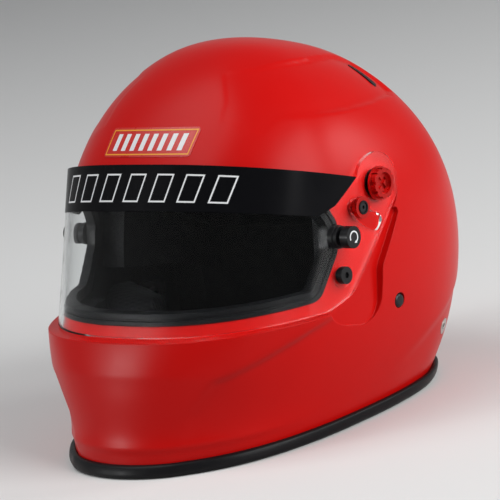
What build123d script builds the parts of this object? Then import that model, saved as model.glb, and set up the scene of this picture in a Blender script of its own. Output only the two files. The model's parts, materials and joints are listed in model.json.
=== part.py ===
"""Full-face auto racing helmet with a hinged clear shield, built in millimetres.

The head form is drawn level, as it is worn: X to the wearer's left, -Y to the face, +Z up,
with its zero on the shield's pivot axis. Each finished piece is then tilted and lifted so
that the lower rim lies flat on z = 0, the way the helmet stands on a shelf.
"""
from build123d import *
import math
import os

# Driving sizes (mm)
SHELL_WIDTH = 252.0          # widest place, above the ears
SHELL_LENGTH = 307.0         # chin bar to the back of the head
FORM_HEIGHT = 329.0          # lowest level section to the crown
CROWN_RISE = 106.0           # crown above the pivot axis
RIM_DROP = 167.8             # rim plane below the pivot axis, straight down
STAND_TILT = 11.9            # pitch of the rim plane (degrees)
SHELL_WALL = 4.5
REACH = 420.0                # longer than anything it cuts
HAIR = 0.05                  # running clearance on round fits
EASE = 0.3                   # clearance round soft and curved pieces

SHIELD_TUCK = 5.0            # shield's inner face inside the shell's widest half
SHIELD_SWELL_Y = 10.0        # where the shield is widest, behind the pivot
SHIELD_FRONT = 112.0         # shield's inner face before the pivot, at pivot level
SHIELD_LEAN = 9.9            # lean of the shield's front (degrees)
SHIELD_POWER = 2.5           # squareness of the shield seen from above
SHIELD_WALL = 3.0
SHIELD_GAP = 1.0             # shield to shell
SHIELD_EDGE_GAP = 2.5        # shield's edge to the lip round its bed
EAR_RADIUS = 22.0            # shield's ear round the pivot
STRIP_WALL = 0.4             # sun strip film

SLOT_RADIUS = 26.5           # guide slot about the pivot
SLOT_WIDTH = 12.6
SLOT_START = 217.3           # the post's place on the slot when the shield is shut (degrees)
SLOT_TRAVEL = 46.0           # turn from shut to fully open (degrees)
SLOT_SPARE = 1.0             # free turn past each end (degrees)

GASKET_WIDTH = 8.0
GASKET_DEPTH = 8.0
GASKET_GROOVE = 1.6

EPS_WALL = 28.0              # impact foam
FOAM_ROOM = 1.0              # foam clear of the nuts and inserts in it
CHIN_FOAM_WALL = 20.0
PADDING_WALL = 10.0
RIM_TRIM_HEIGHT = 12.5
RIM_TRIM_FOOT = 5.0          # height of the trim's bulb
RIM_TRIM_PROUD = 2.8
RIM_BULB_PROUD = 4.4
RIM_TRIM_INNER = 2.4
RIM_EDGE_RISE = 3.0          # shell's own edge above the rim plane
CHANNEL_DEPTH = 1.2          # crown channels

PIVOT_HOLE = 12.0
PIVOT_FLANGE_D = 24.0
PIVOT_FLANGE_T = 1.6
PIVOT_HEAD_D = 21.6
PIVOT_HEAD_T = 4.0
PIVOT_DISH_D = 15.2
PIVOT_DISH_DEPTH = 2.6
PIVOT_CROSS_L = 11.0
PIVOT_CROSS_W = 2.6
PIVOT_CROSS_DEPTH = 1.4
PIVOT_NOTCHES = 10
PIVOT_NOTCH_W = 2.2
PIVOT_NOTCH_DEPTH = 0.9
PIVOT_SEAT_DEPTH = 2.0       # flat under the pivot bush, inside the shield's inner face
PIVOT_BUSH_FLANGE_D = 20.0
PIVOT_BUSH_FLANGE_T = 1.1
PIVOT_SHANK_D = 6.0
NUT_FLANGE_D = 18.0
NUT_FLANGE_T = 1.5
NUT_BARREL_D = 9.0
NUT_BARREL_L = 8.0

POST_BARREL_D = 12.0
POST_SEAT_DEPTH = 3.6        # flat under the guide post, inside the shield's inner face
POST_SHOULDER_GAP = 0.4
POST_FLANGE_D = 15.5
POST_FLANGE_T = 3.0
POST_RING_D = 9.6
POST_RING_BORE = 7.2
POST_RING_T = 1.2
POST_SCREW_HEAD_D = 7.0
POST_SCREW_HEAD_T = 2.2
POST_SCREW_D = 4.0
HEX_ACROSS = 2.5
HEX_DEPTH = 1.3

CAM_Y, CAM_Z = -41.0, -35.5  # tear-off post on the shield
CAM_SADDLE_D = 16.5
CAM_SETBACK = 2.4            # saddle's outer face behind the shield's outermost face
CAM_BODY_D = 15.4
CAM_NECK_D = 10.0
CAM_NECK_L = 3.2
CAM_NECK_OFFSET = 1.4        # eccentric neck that takes up the film's slack
CAM_BASE_L = 3.0
CAM_HEAD_L = 6.6
CAM_BORE_D = 4.0
CAM_CAP_D = 5.4
CAM_CAP_T = 1.5
INNER_HEAD_D = 7.0
CAM_HEAD_SETBACK = 3.7       # inner heads' faces behind the shield's inner half width

STUD_Y, STUD_Z = -37.0, -62.0
STUD_D = 12.2
STUD_PROUD = 0.4             # stud's face beyond the shield's outermost face
STUD_BLIND = 3.2             # end of the stud's threaded hole behind that face
STUD_HEX = 4.0
STUD_HEX_DEPTH = 1.9
STUD_SCREW_D = 5.0
STUD_HEAD_SETBACK = 2.5
STUD_RECESS_D = 13.6         # dished seat that leaves a crescent below the stud
STUD_RECESS_DROP = 2.3
STUD_RECESS_DEPTH = 1.2

BOLT_Y, BOLT_Z = 22.0, -83.0
BOLT_SEAT_DEPTH = 1.2
BOLT_HEAD_D = 10.5
BOLT_HEAD_T = 3.2
BOLT_D = 5.0
HANGER_GAP = 0.4             # strap hanger behind the shell's inner face, at its nearest corner
HANGER_T = 2.0
HANGER_W = 26.0
HANGER_H = 34.0
HANGER_DROP = 9.0
HANGER_SLOT_W = 19.0
HANGER_SLOT_H = 3.6
BOLT_NUT_D = 9.0
BOLT_NUT_T = 3.0

ANCHOR_Y, ANCHOR_Z = 96.0, -107.0
ANCHOR_YAW = 24.0            # anchor axis turned back from X (degrees)
ANCHOR_DIP = 15.0            # and down (degrees)
ANCHOR_SUNK = -0.4           # anchor's face below the shell's straight-sided outline
ANCHOR_D = 12.0
ANCHOR_LENGTH = 10.0
ANCHOR_FLANGE_D = 17.0
ANCHOR_FLANGE_T = 1.8
ANCHOR_BORE = 5.0            # M6 tapping bore
ANCHOR_BORE_DEPTH = 8.5

VENT_SLOT_L = 21.0
VENT_SLOT_W = 6.0
VENT_X, VENT_Y = 69.5, 53.0
VENT_TURN = 17.0             # slot's turn in plan (degrees)
VENT_BORE_D = 10.0
VENT_HOLES = 5
VENT_HOLE_SHARE = 0.55

PAD_INNER_X = 64.0
PAD_OUTER_GAP = 12.5         # shell's outer face to the pad's back
PAD_TAPER = 14.0             # drawn-in sides (degrees)
PAD_CROWN_RADIUS = 120.0
PAD_BOTTOM = 18.5            # above the rim plane
EPS_BOTTOM = 38.5
CHIN_FOAM_BOTTOM = 14.0

ROLL_WIDTH, ROLL_HEIGHT = 25.0, 20.0
ROLL_RISE = 25.0
ROLL_HALF = 86.0
ROLL_BACK = 72.0
ROLL_START_Y = 29.0

STRAP_WIDTH = 24.0
STRAP_WALL = 1.6
STRAP_LEVEL = 9.5            # strap's run across the neck opening
STRAP_TURN_GAP, STRAP_TURN_RISE = 24.0, 34.0
STRAP_LOW_GAP = 44.0
STRAP_BEND = 12.0
LONG_END_X = -26.0
SHORT_END_X = -66.0
LOOP_D = 9.0                 # sewn loop that holds the rings
LOOP_WALL = 1.4
RING_WIRE = 2.4
RING_W, RING_L = 34.0, 25.0
RING_CORNER = 7.0
RING_RISE = 1.45             # each ring's bar above and below the loop's middle
STRAP_PAD_START, STRAP_PAD_END = -20.0, 58.0
STRAP_PAD_W, STRAP_PAD_T = 38.0, 7.0
STRAP_PAD_ROUND = 3.0

BADGE_WIDTH, BADGE_HEIGHT = 82.0, 20.5
BADGE_Z = 32.0
BADGE_SLANT = 3.0
BADGE_CORNER = 3.0
BADGE_WALL = 0.35

# Hand-drawn outlines, as shares
# height, half width, front, rear, front squareness, rear squareness
form_shares = [
    (0.00, 0.715, 0.444, 0.312, 2.05, 3.00),
    (0.16, 0.790, 0.456, 0.398, 2.20, 2.90),
    (0.32, 0.925, 0.452, 0.488, 2.50, 2.70),
    (0.48, 0.996, 0.421, 0.537, 2.65, 2.50),
    (0.64, 0.977, 0.379, 0.525, 2.65, 2.50),
    (0.79, 0.866, 0.315, 0.445, 2.60, 2.50),
    (0.90, 0.653, 0.238, 0.330, 2.45, 2.45),
    (0.97, 0.380, 0.140, 0.193, 2.30, 2.30),
]
crown_back_share = -0.011    # the crown point before the pivot
swell_share = 0.45           # how far the widest place follows the rear
# side views: shares of the shell's length and of the form's height, then a corner in mm shares
shield_shares = [(-0.553, 0.0740, 0.0), (-0.062, 0.0140, 0.0), (0.0, 0.0, 0.0), (0.0580, -0.0388, 0.0),
                 (-0.088, -0.2290, 0.10), (-0.156, -0.2620, 0.08), (-0.553, -0.3330, 0.0)]
scoop_shares = [(0.088, -0.0360, 0.02), (0.0050, -0.1750, 0.09), (0.0060, -0.2980, 0.14),
                (-0.125, -0.2950, 0.20), (-0.170, -0.2650, 0.0), (-0.065, -0.1200, 0.0)]
port_shares = [(-0.553, 0.0300, 0.0), (-0.163, -0.0225, 0.08), (-0.120, -0.0790, 0.10),
               (-0.122, -0.1400, 0.10), (-0.173, -0.2400, 0.09), (-0.553, -0.3130, 0.0)]
strip_shares = [(-0.553, 0.1500, 0.0), (-0.068, 0.0900, 0.0), (-0.073, 0.0140, 0.0),
                (-0.135, -0.0430, 0.0), (-0.180, -0.0640, 0.05), (-0.553, -0.0320, 0.0)]
foam_shares = [(-0.475, 0.0480, 0.0), (-0.156, 0.0360, 0.0), (-0.100, -0.0230, 0.04), (-0.100, -0.1850, 0.0),
               (0.176, -0.1850, 0.0), (0.195, -0.5800, 0.0), (0.600, -0.5800, 0.0), (0.600, 0.4300, 0.0),
               (-0.475, 0.4300, 0.0)]
chin_foam_shares = [(-0.553, -0.3270, 0.0), (-0.172, -0.2540, 0.0), (-0.158, -0.2500, 0.0),
                    (-0.158, -0.6200, 0.0), (-0.553, -0.6700, 0.0)]
crown_pad_shares = [(-0.430, 0.0560, 0.0), (-0.140, 0.0460, 0.0), (-0.035, -0.0550, 0.05),
                    (0.200, -0.1200, 0.0), (0.500, -0.1200, 0.0), (0.500, 0.4300, 0.0),
                    (-0.430, 0.4300, 0.0)]
cheek_shares = [(-0.115, -0.2000, 0.06), (0.022, -0.2000, 0.06), (0.022, -0.4700, 0.05),
                (-0.205, -0.4700, 0.06), (-0.205, -0.3150, 0.06), (-0.150, -0.2850, 0.04)]
# plan view of a crown channel: shares of the half width and of the length
channel_shares = [(0.340, -0.190, 0.03), (0.430, -0.292, 0.04), (0.700, -0.238, 0.04), (0.802, -0.040, 0.0),
                  (0.735, 0.172, 0.05), (0.470, 0.164, 0.04), (0.520, -0.020, 0.0)]
channel_floor_share = 0.05
groove_shares = (0.36, 0.64)     # the gasket's groove between its two ribs
corner_limit_share = 0.49        # most of a side that one corner may take
roll_shares = (0.52, 0.56, 0.40) # neck roll: side run, back corner, bend
mesh_share = 0.1                 # vent mesh's outer face within the wall
bolt_dome_share = 0.85
hole_round_share = 0.45
cross_turns = (45, 135)          # the pivot screw's cross slot (degrees)

half_width = SHELL_WIDTH / 2
shield_half = half_width - SHIELD_TUCK
shield_out = shield_half + SHIELD_WALL
form_floor = CROWN_RISE - FORM_HEIGHT
tilt = math.radians(STAND_TILT)
stand_turn = Location((0, 0, RIM_DROP * math.cos(tilt)), (-STAND_TILT, 0, 0))
around = 20


# Drawing helpers
def power(value, exponent):
    """A power that keeps the sign."""
    return math.copysign(abs(value) ** exponent, value)


def ring_face(height, half, front, rear, front_power, rear_power):
    """A closed level outline: half width, reach before and behind the pivot, and squareness."""
    middle = (rear - front) * swell_share
    points = []
    for k in range(around):
        angle = 2 * math.pi * k / around
        squareness = front_power if math.sin(angle) < 0 else rear_power
        x = half * power(math.cos(angle), 2 / squareness)
        reach = middle + front if math.sin(angle) < 0 else rear - middle
        points.append((x, middle + reach * power(math.sin(angle), 2 / squareness), height))
    steps = [k / around for k in range(around + 1)]
    return make_face(Edge.make_spline(points, periodic=True, parameters=steps))


def form(inset):
    """The head form, drawn in by the same amount at its sides, ends and crown."""
    x_scale = 1 - inset / half_width
    y_scale = 1 - 2 * inset / SHELL_LENGTH
    z_scale = 1 - inset / CROWN_RISE
    sections = []
    for high, wide, front, rear, front_power, rear_power in form_shares:
        z = form_floor + high * FORM_HEIGHT
        z = z * z_scale if z > 0 else z
        sections.append(ring_face(z, wide * half_width * x_scale, front * SHELL_LENGTH * y_scale,
                                  rear * SHELL_LENGTH * y_scale, front_power, rear_power))
    crown = Vertex(0, crown_back_share * SHELL_LENGTH, CROWN_RISE - inset)
    return loft(sections + [crown])


def shield_drum(offset):
    """The single-curved body whose face is the shield's inner face, moved out by offset."""
    faces = []
    for z in (-FORM_HEIGHT, CROWN_RISE):
        front = SHIELD_FRONT - z * math.tan(math.radians(SHIELD_LEAN)) + offset + SHIELD_SWELL_Y
        half = shield_half + offset
        points = []
        for k in range(around + 1):
            angle = math.pi + math.pi * k / around
            points.append((half * power(math.cos(angle), 2 / SHIELD_POWER),
                           SHIELD_SWELL_Y + front * power(math.sin(angle), 2 / SHIELD_POWER), z))
        left, right = points[-1], points[0]
        back = [(left[0], REACH, z), (right[0], REACH, z)]
        steps = [k / around for k in range(around + 1)]
        edges = [Edge.make_spline(points, parameters=steps), Line(left, back[0]), Line(back[0], back[1]),
                 Line(back[1], right)]
        faces.append(make_face(edges))
    return loft(faces, ruled=True)


def rounded_face(corners):
    """A polygon with a radius at each corner, as a flat face."""
    count = len(corners)
    starts, ends, middles = [], [], []
    for k in range(count):
        here = Vector(corners[k][0], corners[k][1])
        back = Vector(corners[k - 1][0], corners[k - 1][1]) - here
        on = Vector(corners[(k + 1) % count][0], corners[(k + 1) % count][1]) - here
        radius = corners[k][2]
        if radius <= 0:
            starts.append(here), ends.append(here), middles.append(None)
            continue
        half_angle = math.acos(max(-1, min(1, back.normalized().dot(on.normalized())))) / 2
        run = min(radius / math.tan(half_angle), min(back.length, on.length) * corner_limit_share)
        radius = run * math.tan(half_angle)
        bisector = (back.normalized() + on.normalized()).normalized()
        starts.append(here + back.normalized() * run)
        ends.append(here + on.normalized() * run)
        middles.append(here + bisector * (radius / math.sin(half_angle) - radius))
    edges = []
    for k in range(count):
        if middles[k] is not None:
            edges.append(ThreePointArc(starts[k], middles[k], ends[k]))
        follow = (k + 1) % count
        if (starts[follow] - ends[k]).length > HAIR:
            edges.append(Line(ends[k], starts[follow]))
    return make_face(edges)


def side_face(shares):
    """A side-view outline from shares of the length and height."""
    return rounded_face([(y * SHELL_LENGTH, z * FORM_HEIGHT, corner * SHELL_LENGTH / 2)
                         for y, z, corner in shares])


def across(face, start=None, end=None):
    """Extrudes a side-view face along X, right through or between two places."""
    if start is None:
        start, end = -REACH / 2, REACH / 2
    return extrude(Plane.YZ.offset(start) * face, end - start)


def disc(y, z, diameter, start, end):
    """A round bar along X between two places."""
    return extrude(Plane.YZ.offset(start) * Pos(y, z) * Circle(diameter / 2), end - start)


def band(low, high):
    """Everything between two heights above the rim plane."""
    return stand_turn.inverse() * Pos(0, 0, (low + high) / 2) * Box(2 * REACH, 2 * REACH, high - low)


def mirrored(shape):
    """The same piece for the wearer's right side."""
    return mirror(shape, about=Plane.YZ)


def solid_of(shape):
    """The one solid of a result, or its largest when a sliver was left."""
    solids = shape.solids()
    return max(solids, key=lambda item: item.volume)


# Outer shell
shield_outline = side_face(shield_shares) + Circle(EAR_RADIUS)
bed_outline = offset(shield_outline, SHIELD_EDGE_GAP) + side_face(scoop_shares)
port_outline = side_face(port_shares)


def bed(depth):
    """What the shield's bed takes out of the head form, with its walls moved out by depth."""
    outline = offset(bed_outline, depth) if depth > 0 else bed_outline
    return across(outline) - shield_drum(-SHIELD_GAP - depth)


outer_body = form(0)
inner_body = form(SHELL_WALL)

channel = rounded_face([(x * half_width, y * SHELL_LENGTH, corner * SHELL_LENGTH)
                        for x, y, corner in channel_shares])
channel = extrude(Plane.XY.offset(channel_floor_share * FORM_HEIGHT) * channel, REACH) - form(CHANNEL_DEPTH)


def vent_shape(grow):
    """A crown vent's slot, drawn from above and cut upwards."""
    slot = SlotOverall(VENT_SLOT_L + 2 * grow, VENT_SLOT_W + 2 * grow)
    return Pos(VENT_X, VENT_Y, 0) * Rot(0, 0, VENT_TURN) * extrude(slot, REACH)


vent_slot = vent_shape(0)


def share_at(z, column):
    """A share from the form's table, read between its heights."""
    level = (z - form_floor) / FORM_HEIGHT
    for low, high in zip(form_shares, form_shares[1:]):
        if low[0] <= level <= high[0]:
            part = (level - low[0]) / (high[0] - low[0])
            return low[column] + part * (high[column] - low[column])
    return form_shares[-1][column]


def half_at(y, z):
    """Half width of the head form at a place in the side view."""
    front, rear = share_at(z, 2) * SHELL_LENGTH, share_at(z, 3) * SHELL_LENGTH
    middle = (rear - front) * swell_share
    squareness = share_at(z, 4) if y < middle else share_at(z, 5)
    reach = middle + front if y < middle else rear - middle
    off = min(abs(y - middle) / reach, 1)
    return share_at(z, 1) * half_width * (1 - off ** squareness) ** (1 / squareness)


anchor_x = half_at(ANCHOR_Y, ANCHOR_Z) - ANCHOR_SUNK
anchor_place = (Location((anchor_x, ANCHOR_Y, ANCHOR_Z)) * Location((0, 0, 0), (0, 0, ANCHOR_YAW))
                * Location((0, 0, 0), (0, 90 + ANCHOR_DIP, 0)))


def anchor_bar(diameter, start, end):
    """A round bar on the anchor's axis, between two places along it, outward from its face."""
    return anchor_place * Pos(0, 0, start) * extrude(Circle(diameter / 2), end - start)


pivot_seat = shield_half - PIVOT_SEAT_DEPTH
pivot_out = shield_out + EASE
inner_share = 1 - SHELL_WALL / half_width
nut_wall = min(shield_half - SHIELD_GAP - SHELL_WALL, half_at(0, NUT_FLANGE_D / 2) * inner_share)
nut_face = nut_wall - EASE
slot_angle = math.radians(SLOT_START)
post_y, post_z = SLOT_RADIUS * math.cos(slot_angle), SLOT_RADIUS * math.sin(slot_angle)
post_seat = shield_half - POST_SEAT_DEPTH
post_shoulder = shield_out + POST_SHOULDER_GAP
bolt_face = half_at(BOLT_Y, BOLT_Z)
bolt_seat = bolt_face - BOLT_SEAT_DEPTH
hanger_corners = [(BOLT_Y + fore * HANGER_W / 2, BOLT_Z - HANGER_DROP + upper * HANGER_H / 2)
                  for fore in (-1, 1) for upper in (-1, 1)]
nearest_wall = min(half_at(y, z) for y, z in hanger_corners) * inner_share
hanger_face = nearest_wall - HANGER_GAP
away = half_width + REACH / 4

shell = outer_body - channel - mirrored(channel) - bed(0)
shell = shell - (inner_body - bed(SHELL_WALL))
shell = shell - across(port_outline) - band(-REACH, RIM_EDGE_RISE) - vent_slot - mirrored(vent_slot)
side_cuts = (disc(0, 0, PIVOT_BUSH_FLANGE_D + 2 * EASE, pivot_seat, away)
             + disc(0, 0, PIVOT_SHANK_D + 2 * HAIR, nut_face - EPS_WALL, away)
             + disc(post_y, post_z, POST_SCREW_D + 2 * HAIR, nut_face - EPS_WALL, away)
             + disc(post_y, post_z, POST_BARREL_D + 2 * EASE, post_seat, away)
             + disc(BOLT_Y, BOLT_Z, BOLT_HEAD_D + 2 * EASE, bolt_seat, away)
             + disc(BOLT_Y, BOLT_Z, BOLT_D + 2 * HAIR, nut_face - EPS_WALL, away)
             + anchor_bar(ANCHOR_D + 2 * HAIR, -ANCHOR_LENGTH, away / 2))
shell = shell - side_cuts - mirrored(side_cuts)

# Soft lining
foam_outer = form(SHELL_WALL + EASE) - bed(SHELL_WALL + EASE)
foam = foam_outer & across(side_face(foam_shares))
foam = foam - form(SHELL_WALL + EPS_WALL) - band(-REACH, EPS_BOTTOM)
vent_bore = Pos(VENT_X, VENT_Y, 0) * extrude(Circle(VENT_BORE_D / 2), REACH)
nut_end = nut_face - NUT_FLANGE_T - NUT_BARREL_L
foam_cuts = (disc(0, 0, NUT_FLANGE_D + 2 * FOAM_ROOM, nut_end - FOAM_ROOM, away)
             + disc(post_y, post_z, NUT_BARREL_D, nut_face - NUT_BARREL_L - FOAM_ROOM, away)
             + anchor_bar(ANCHOR_FLANGE_D + 2 * FOAM_ROOM,
                          -ANCHOR_LENGTH - 2 * ANCHOR_FLANGE_T - 2 * FOAM_ROOM, away / 2)
             + vent_bore)
foam = foam - foam_cuts - mirrored(foam_cuts)

chin_foam = foam_outer & across(side_face(chin_foam_shares))
chin_foam = chin_foam - form(SHELL_WALL + CHIN_FOAM_WALL) - band(-REACH, CHIN_FOAM_BOTTOM)

padding_gap = SHELL_WALL + EPS_WALL + EASE
crown_pad = (form(padding_gap) - form(padding_gap + PADDING_WALL)) & across(side_face(crown_pad_shares))

cheek_face = Plane.YZ.offset(half_width) * side_face(cheek_shares)
cheek = extrude(cheek_face, amount=half_width - PAD_INNER_X, dir=(-1, 0, 0), taper=PAD_TAPER)
cheek_middle = cheek_face.center()
crown_centre = Pos(PAD_INNER_X + PAD_CROWN_RADIUS, cheek_middle.Y, cheek_middle.Z)
cheek = cheek & (crown_centre * Sphere(PAD_CROWN_RADIUS))
foam_room = across(offset(side_face(chin_foam_shares), EASE)) - form(SHELL_WALL + CHIN_FOAM_WALL + EASE)
cheek = (cheek & form(PAD_OUTER_GAP)) - foam_room - band(-REACH, PAD_BOTTOM)

# Rim trim and eyeport gasket
rim_core, rim_shell = form(SHELL_WALL + RIM_TRIM_INNER), form(-HAIR)
trim = ((form(-RIM_BULB_PROUD) & band(0, RIM_EDGE_RISE - HAIR)) - rim_core
        + ((form(-RIM_BULB_PROUD) & band(RIM_EDGE_RISE - HAIR, RIM_TRIM_FOOT)) - rim_shell)
        + ((form(-RIM_TRIM_PROUD) & band(RIM_TRIM_FOOT, RIM_TRIM_HEIGHT)) - rim_shell)
        + ((form(SHELL_WALL + HAIR) & band(RIM_EDGE_RISE - HAIR, RIM_TRIM_HEIGHT)) - rim_core))

layer = shield_drum(-EASE) - shield_drum(-EASE - GASKET_DEPTH)
gasket = across(offset(port_outline, -HAIR)) - across(offset(port_outline, -GASKET_WIDTH))
groove = (across(offset(port_outline, -GASKET_WIDTH * groove_shares[0]))
          - across(offset(port_outline, -GASKET_WIDTH * groove_shares[1])))
groove = groove - shield_drum(-EASE - GASKET_GROOVE)
gasket = (gasket & layer) - groove

# Shield and what it carries
inside = shield_drum(HAIR)
outside = shield_drum(SHIELD_WALL + HAIR)
shield = (shield_drum(SHIELD_WALL) - shield_drum(0)) & across(shield_outline)
slot_path = CenterArc((0, 0), SLOT_RADIUS, SLOT_START - SLOT_SPARE, SLOT_TRAVEL + 2 * SLOT_SPARE)
guide_slot = across(SlotArc(slot_path, SLOT_WIDTH), half_width / 2, away)
cam_head_x, stud_head_x = shield_half - CAM_HEAD_SETBACK, shield_half - STUD_HEAD_SETBACK
shield_cuts = (disc(0, 0, PIVOT_HOLE + 2 * HAIR, half_width / 2, away) + guide_slot
               + disc(CAM_Y, CAM_Z, CAM_BORE_D + 2 * HAIR, half_width / 2, away)
               + disc(CAM_Y, CAM_Z, INNER_HEAD_D + 2 * HAIR, half_width / 2, cam_head_x + HAIR)
               + disc(STUD_Y, STUD_Z, STUD_SCREW_D + 2 * HAIR, half_width / 2, away)
               + disc(STUD_Y, STUD_Z, INNER_HEAD_D + 2 * HAIR, half_width / 2, stud_head_x + HAIR)
               + (disc(STUD_Y, STUD_Z - STUD_RECESS_DROP, STUD_RECESS_D, half_width / 2, away)
                  - shield_drum(SHIELD_WALL - STUD_RECESS_DEPTH)))
shield = shield - shield_cuts - mirrored(shield_cuts)

strip_outline = side_face(strip_shares) & shield_outline
strip = (shield_drum(SHIELD_WALL + STRIP_WALL + HAIR) - outside) & across(strip_outline)

cam_floor = shield_out - CAM_SETBACK
saddle = disc(CAM_Y, CAM_Z, CAM_SADDLE_D, half_width / 2, cam_floor) - outside
saddle = saddle - disc(CAM_Y, CAM_Z, CAM_BORE_D + 2 * HAIR, half_width / 2, away)
cam_start = cam_floor + HAIR
cam_neck, cam_top = cam_start + CAM_BASE_L, cam_start + CAM_BASE_L + CAM_NECK_L
cam_end = cam_top + CAM_HEAD_L
cam = (disc(CAM_Y, CAM_Z, CAM_BODY_D, cam_start, cam_neck)
       + disc(CAM_Y + CAM_NECK_OFFSET, CAM_Z, CAM_NECK_D, cam_neck, cam_top)
       + disc(CAM_Y, CAM_Z, CAM_BODY_D, cam_top, cam_end))
cam = cam - disc(CAM_Y, CAM_Z, CAM_BORE_D + 2 * HAIR, cam_start, cam_end) \
    - disc(CAM_Y, CAM_Z, CAM_CAP_D + 2 * HAIR, cam_end - CAM_CAP_T, cam_end)
cam_spindle = (disc(CAM_Y, CAM_Z, CAM_BORE_D, cam_head_x - CAM_HEAD_SETBACK, cam_end - HAIR)
               + disc(CAM_Y, CAM_Z, CAM_CAP_D, cam_end - CAM_CAP_T + HAIR, cam_end - HAIR)
               + disc(CAM_Y, CAM_Z, INNER_HEAD_D, cam_head_x - CAM_HEAD_SETBACK, cam_head_x)) - inside

stud_end = shield_out + STUD_PROUD
hexagon = RegularPolygon(STUD_HEX / 2, 6, major_radius=False)
stud = disc(STUD_Y, STUD_Z, STUD_D, half_width / 2, stud_end) - outside
stud = stud - disc(STUD_Y, STUD_Z, STUD_SCREW_D + 2 * HAIR, half_width / 2, stud_end - STUD_BLIND)
stud = stud - across(Pos(STUD_Y, STUD_Z) * hexagon, stud_end - STUD_HEX_DEPTH, stud_end)
stud_start = stud_head_x - CAM_HEAD_SETBACK
stud_screw = (disc(STUD_Y, STUD_Z, STUD_SCREW_D, stud_start, stud_end - STUD_BLIND - HAIR)
              + disc(STUD_Y, STUD_Z, INNER_HEAD_D, stud_start, stud_head_x)) - inside

# Pivot and guide post
bush = (disc(0, 0, PIVOT_BUSH_FLANGE_D, pivot_seat, pivot_seat + PIVOT_BUSH_FLANGE_T)
        + disc(0, 0, PIVOT_HOLE, pivot_seat, pivot_out))
bush = bush - disc(0, 0, PIVOT_SHANK_D + 2 * HAIR, pivot_seat, pivot_out)
nut = (disc(0, 0, NUT_FLANGE_D, nut_face - NUT_FLANGE_T, nut_face)
       + disc(0, 0, NUT_BARREL_D, nut_face - NUT_FLANGE_T - NUT_BARREL_L, nut_face))
nut = nut - disc(0, 0, PIVOT_SHANK_D + 2 * HAIR, nut_face - NUT_FLANGE_T - NUT_BARREL_L, nut_face)
head_start = pivot_out + PIVOT_FLANGE_T
head_end = head_start + PIVOT_HEAD_T
screw = (disc(0, 0, PIVOT_FLANGE_D, pivot_out, head_start) + disc(0, 0, PIVOT_HEAD_D, head_start, head_end)
         + disc(0, 0, PIVOT_SHANK_D, nut_face - NUT_FLANGE_T - NUT_BARREL_L / 2, pivot_out))
screw = screw - disc(0, 0, PIVOT_DISH_D, head_end - PIVOT_DISH_DEPTH, head_end)
dish_floor = head_end - PIVOT_DISH_DEPTH
for turn in cross_turns:
    bar = Rot(0, 0, turn) * Rectangle(PIVOT_CROSS_L, PIVOT_CROSS_W)
    screw = screw - across(bar, dish_floor - PIVOT_CROSS_DEPTH, dish_floor)
for k in range(PIVOT_NOTCHES):
    notch = Rot(0, 0, 360 * k / PIVOT_NOTCHES) * Pos(PIVOT_HEAD_D / 2, 0)
    notch = notch * Rectangle(2 * PIVOT_NOTCH_DEPTH, PIVOT_NOTCH_W)
    screw = screw - across(notch, head_start, head_end)

post_end = post_shoulder + POST_FLANGE_T
post = (disc(post_y, post_z, POST_BARREL_D, post_seat, post_shoulder)
        + disc(post_y, post_z, POST_FLANGE_D, post_shoulder, post_end))
ring_floor = post_end - POST_RING_T / 2
post = post - disc(post_y, post_z, POST_SCREW_D + 2 * HAIR, post_seat, post_end) \
    - disc(post_y, post_z, POST_RING_D + 2 * HAIR, ring_floor, post_end) \
    - disc(post_y, post_z, POST_SCREW_HEAD_D + 2 * HAIR, ring_floor - POST_SCREW_HEAD_T, post_end)
o_ring = disc(post_y, post_z, POST_RING_D, ring_floor, ring_floor + POST_RING_T) \
    - disc(post_y, post_z, POST_RING_BORE, ring_floor, ring_floor + POST_RING_T)
screw_face = ring_floor + POST_RING_T / 2
post_screw = (disc(post_y, post_z, POST_SCREW_HEAD_D, ring_floor - POST_SCREW_HEAD_T, screw_face)
              + disc(post_y, post_z, POST_SCREW_D, nut_face - NUT_BARREL_L, ring_floor - POST_SCREW_HEAD_T))
post_screw = post_screw - across(Pos(post_y, post_z) * RegularPolygon(HEX_ACROSS / 2, 6, major_radius=False),
                                 screw_face - HEX_DEPTH, screw_face)

# Chin strap and anchors
bolt_shank_end = hanger_face - HANGER_T - BOLT_NUT_T
bolt = disc(BOLT_Y, BOLT_Z, BOLT_HEAD_D, bolt_seat, bolt_seat + BOLT_HEAD_T)
bolt = fillet(bolt.edges().group_by(Axis.X)[-1], BOLT_HEAD_T * bolt_dome_share)
bolt = bolt + disc(BOLT_Y, BOLT_Z, BOLT_D, bolt_shank_end, bolt_seat)
bolt_nut = disc(BOLT_Y, BOLT_Z, BOLT_NUT_D, bolt_shank_end, bolt_shank_end + BOLT_NUT_T) \
    - disc(BOLT_Y, BOLT_Z, BOLT_D + 2 * HAIR, bolt_shank_end, bolt_shank_end + BOLT_NUT_T)
hanger = Pos(BOLT_Y, BOLT_Z - HANGER_DROP) * RectangleRounded(HANGER_W, HANGER_H, HANGER_SLOT_H) \
    - Pos(BOLT_Y, BOLT_Z) * Circle(BOLT_D / 2 + HAIR) \
    - Pos(BOLT_Y, BOLT_Z - HANGER_H / 2) * RectangleRounded(HANGER_SLOT_W, HANGER_SLOT_H,
                                                            HANGER_SLOT_H * hole_round_share)
hanger = across(hanger, hanger_face - HANGER_T, hanger_face)

anchor = (anchor_bar(ANCHOR_D, -ANCHOR_LENGTH, 0)
          + anchor_bar(ANCHOR_FLANGE_D, -ANCHOR_LENGTH - ANCHOR_FLANGE_T, -ANCHOR_LENGTH))
anchor = anchor - anchor_bar(ANCHOR_BORE, -ANCHOR_BORE_DEPTH, 0)

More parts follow.
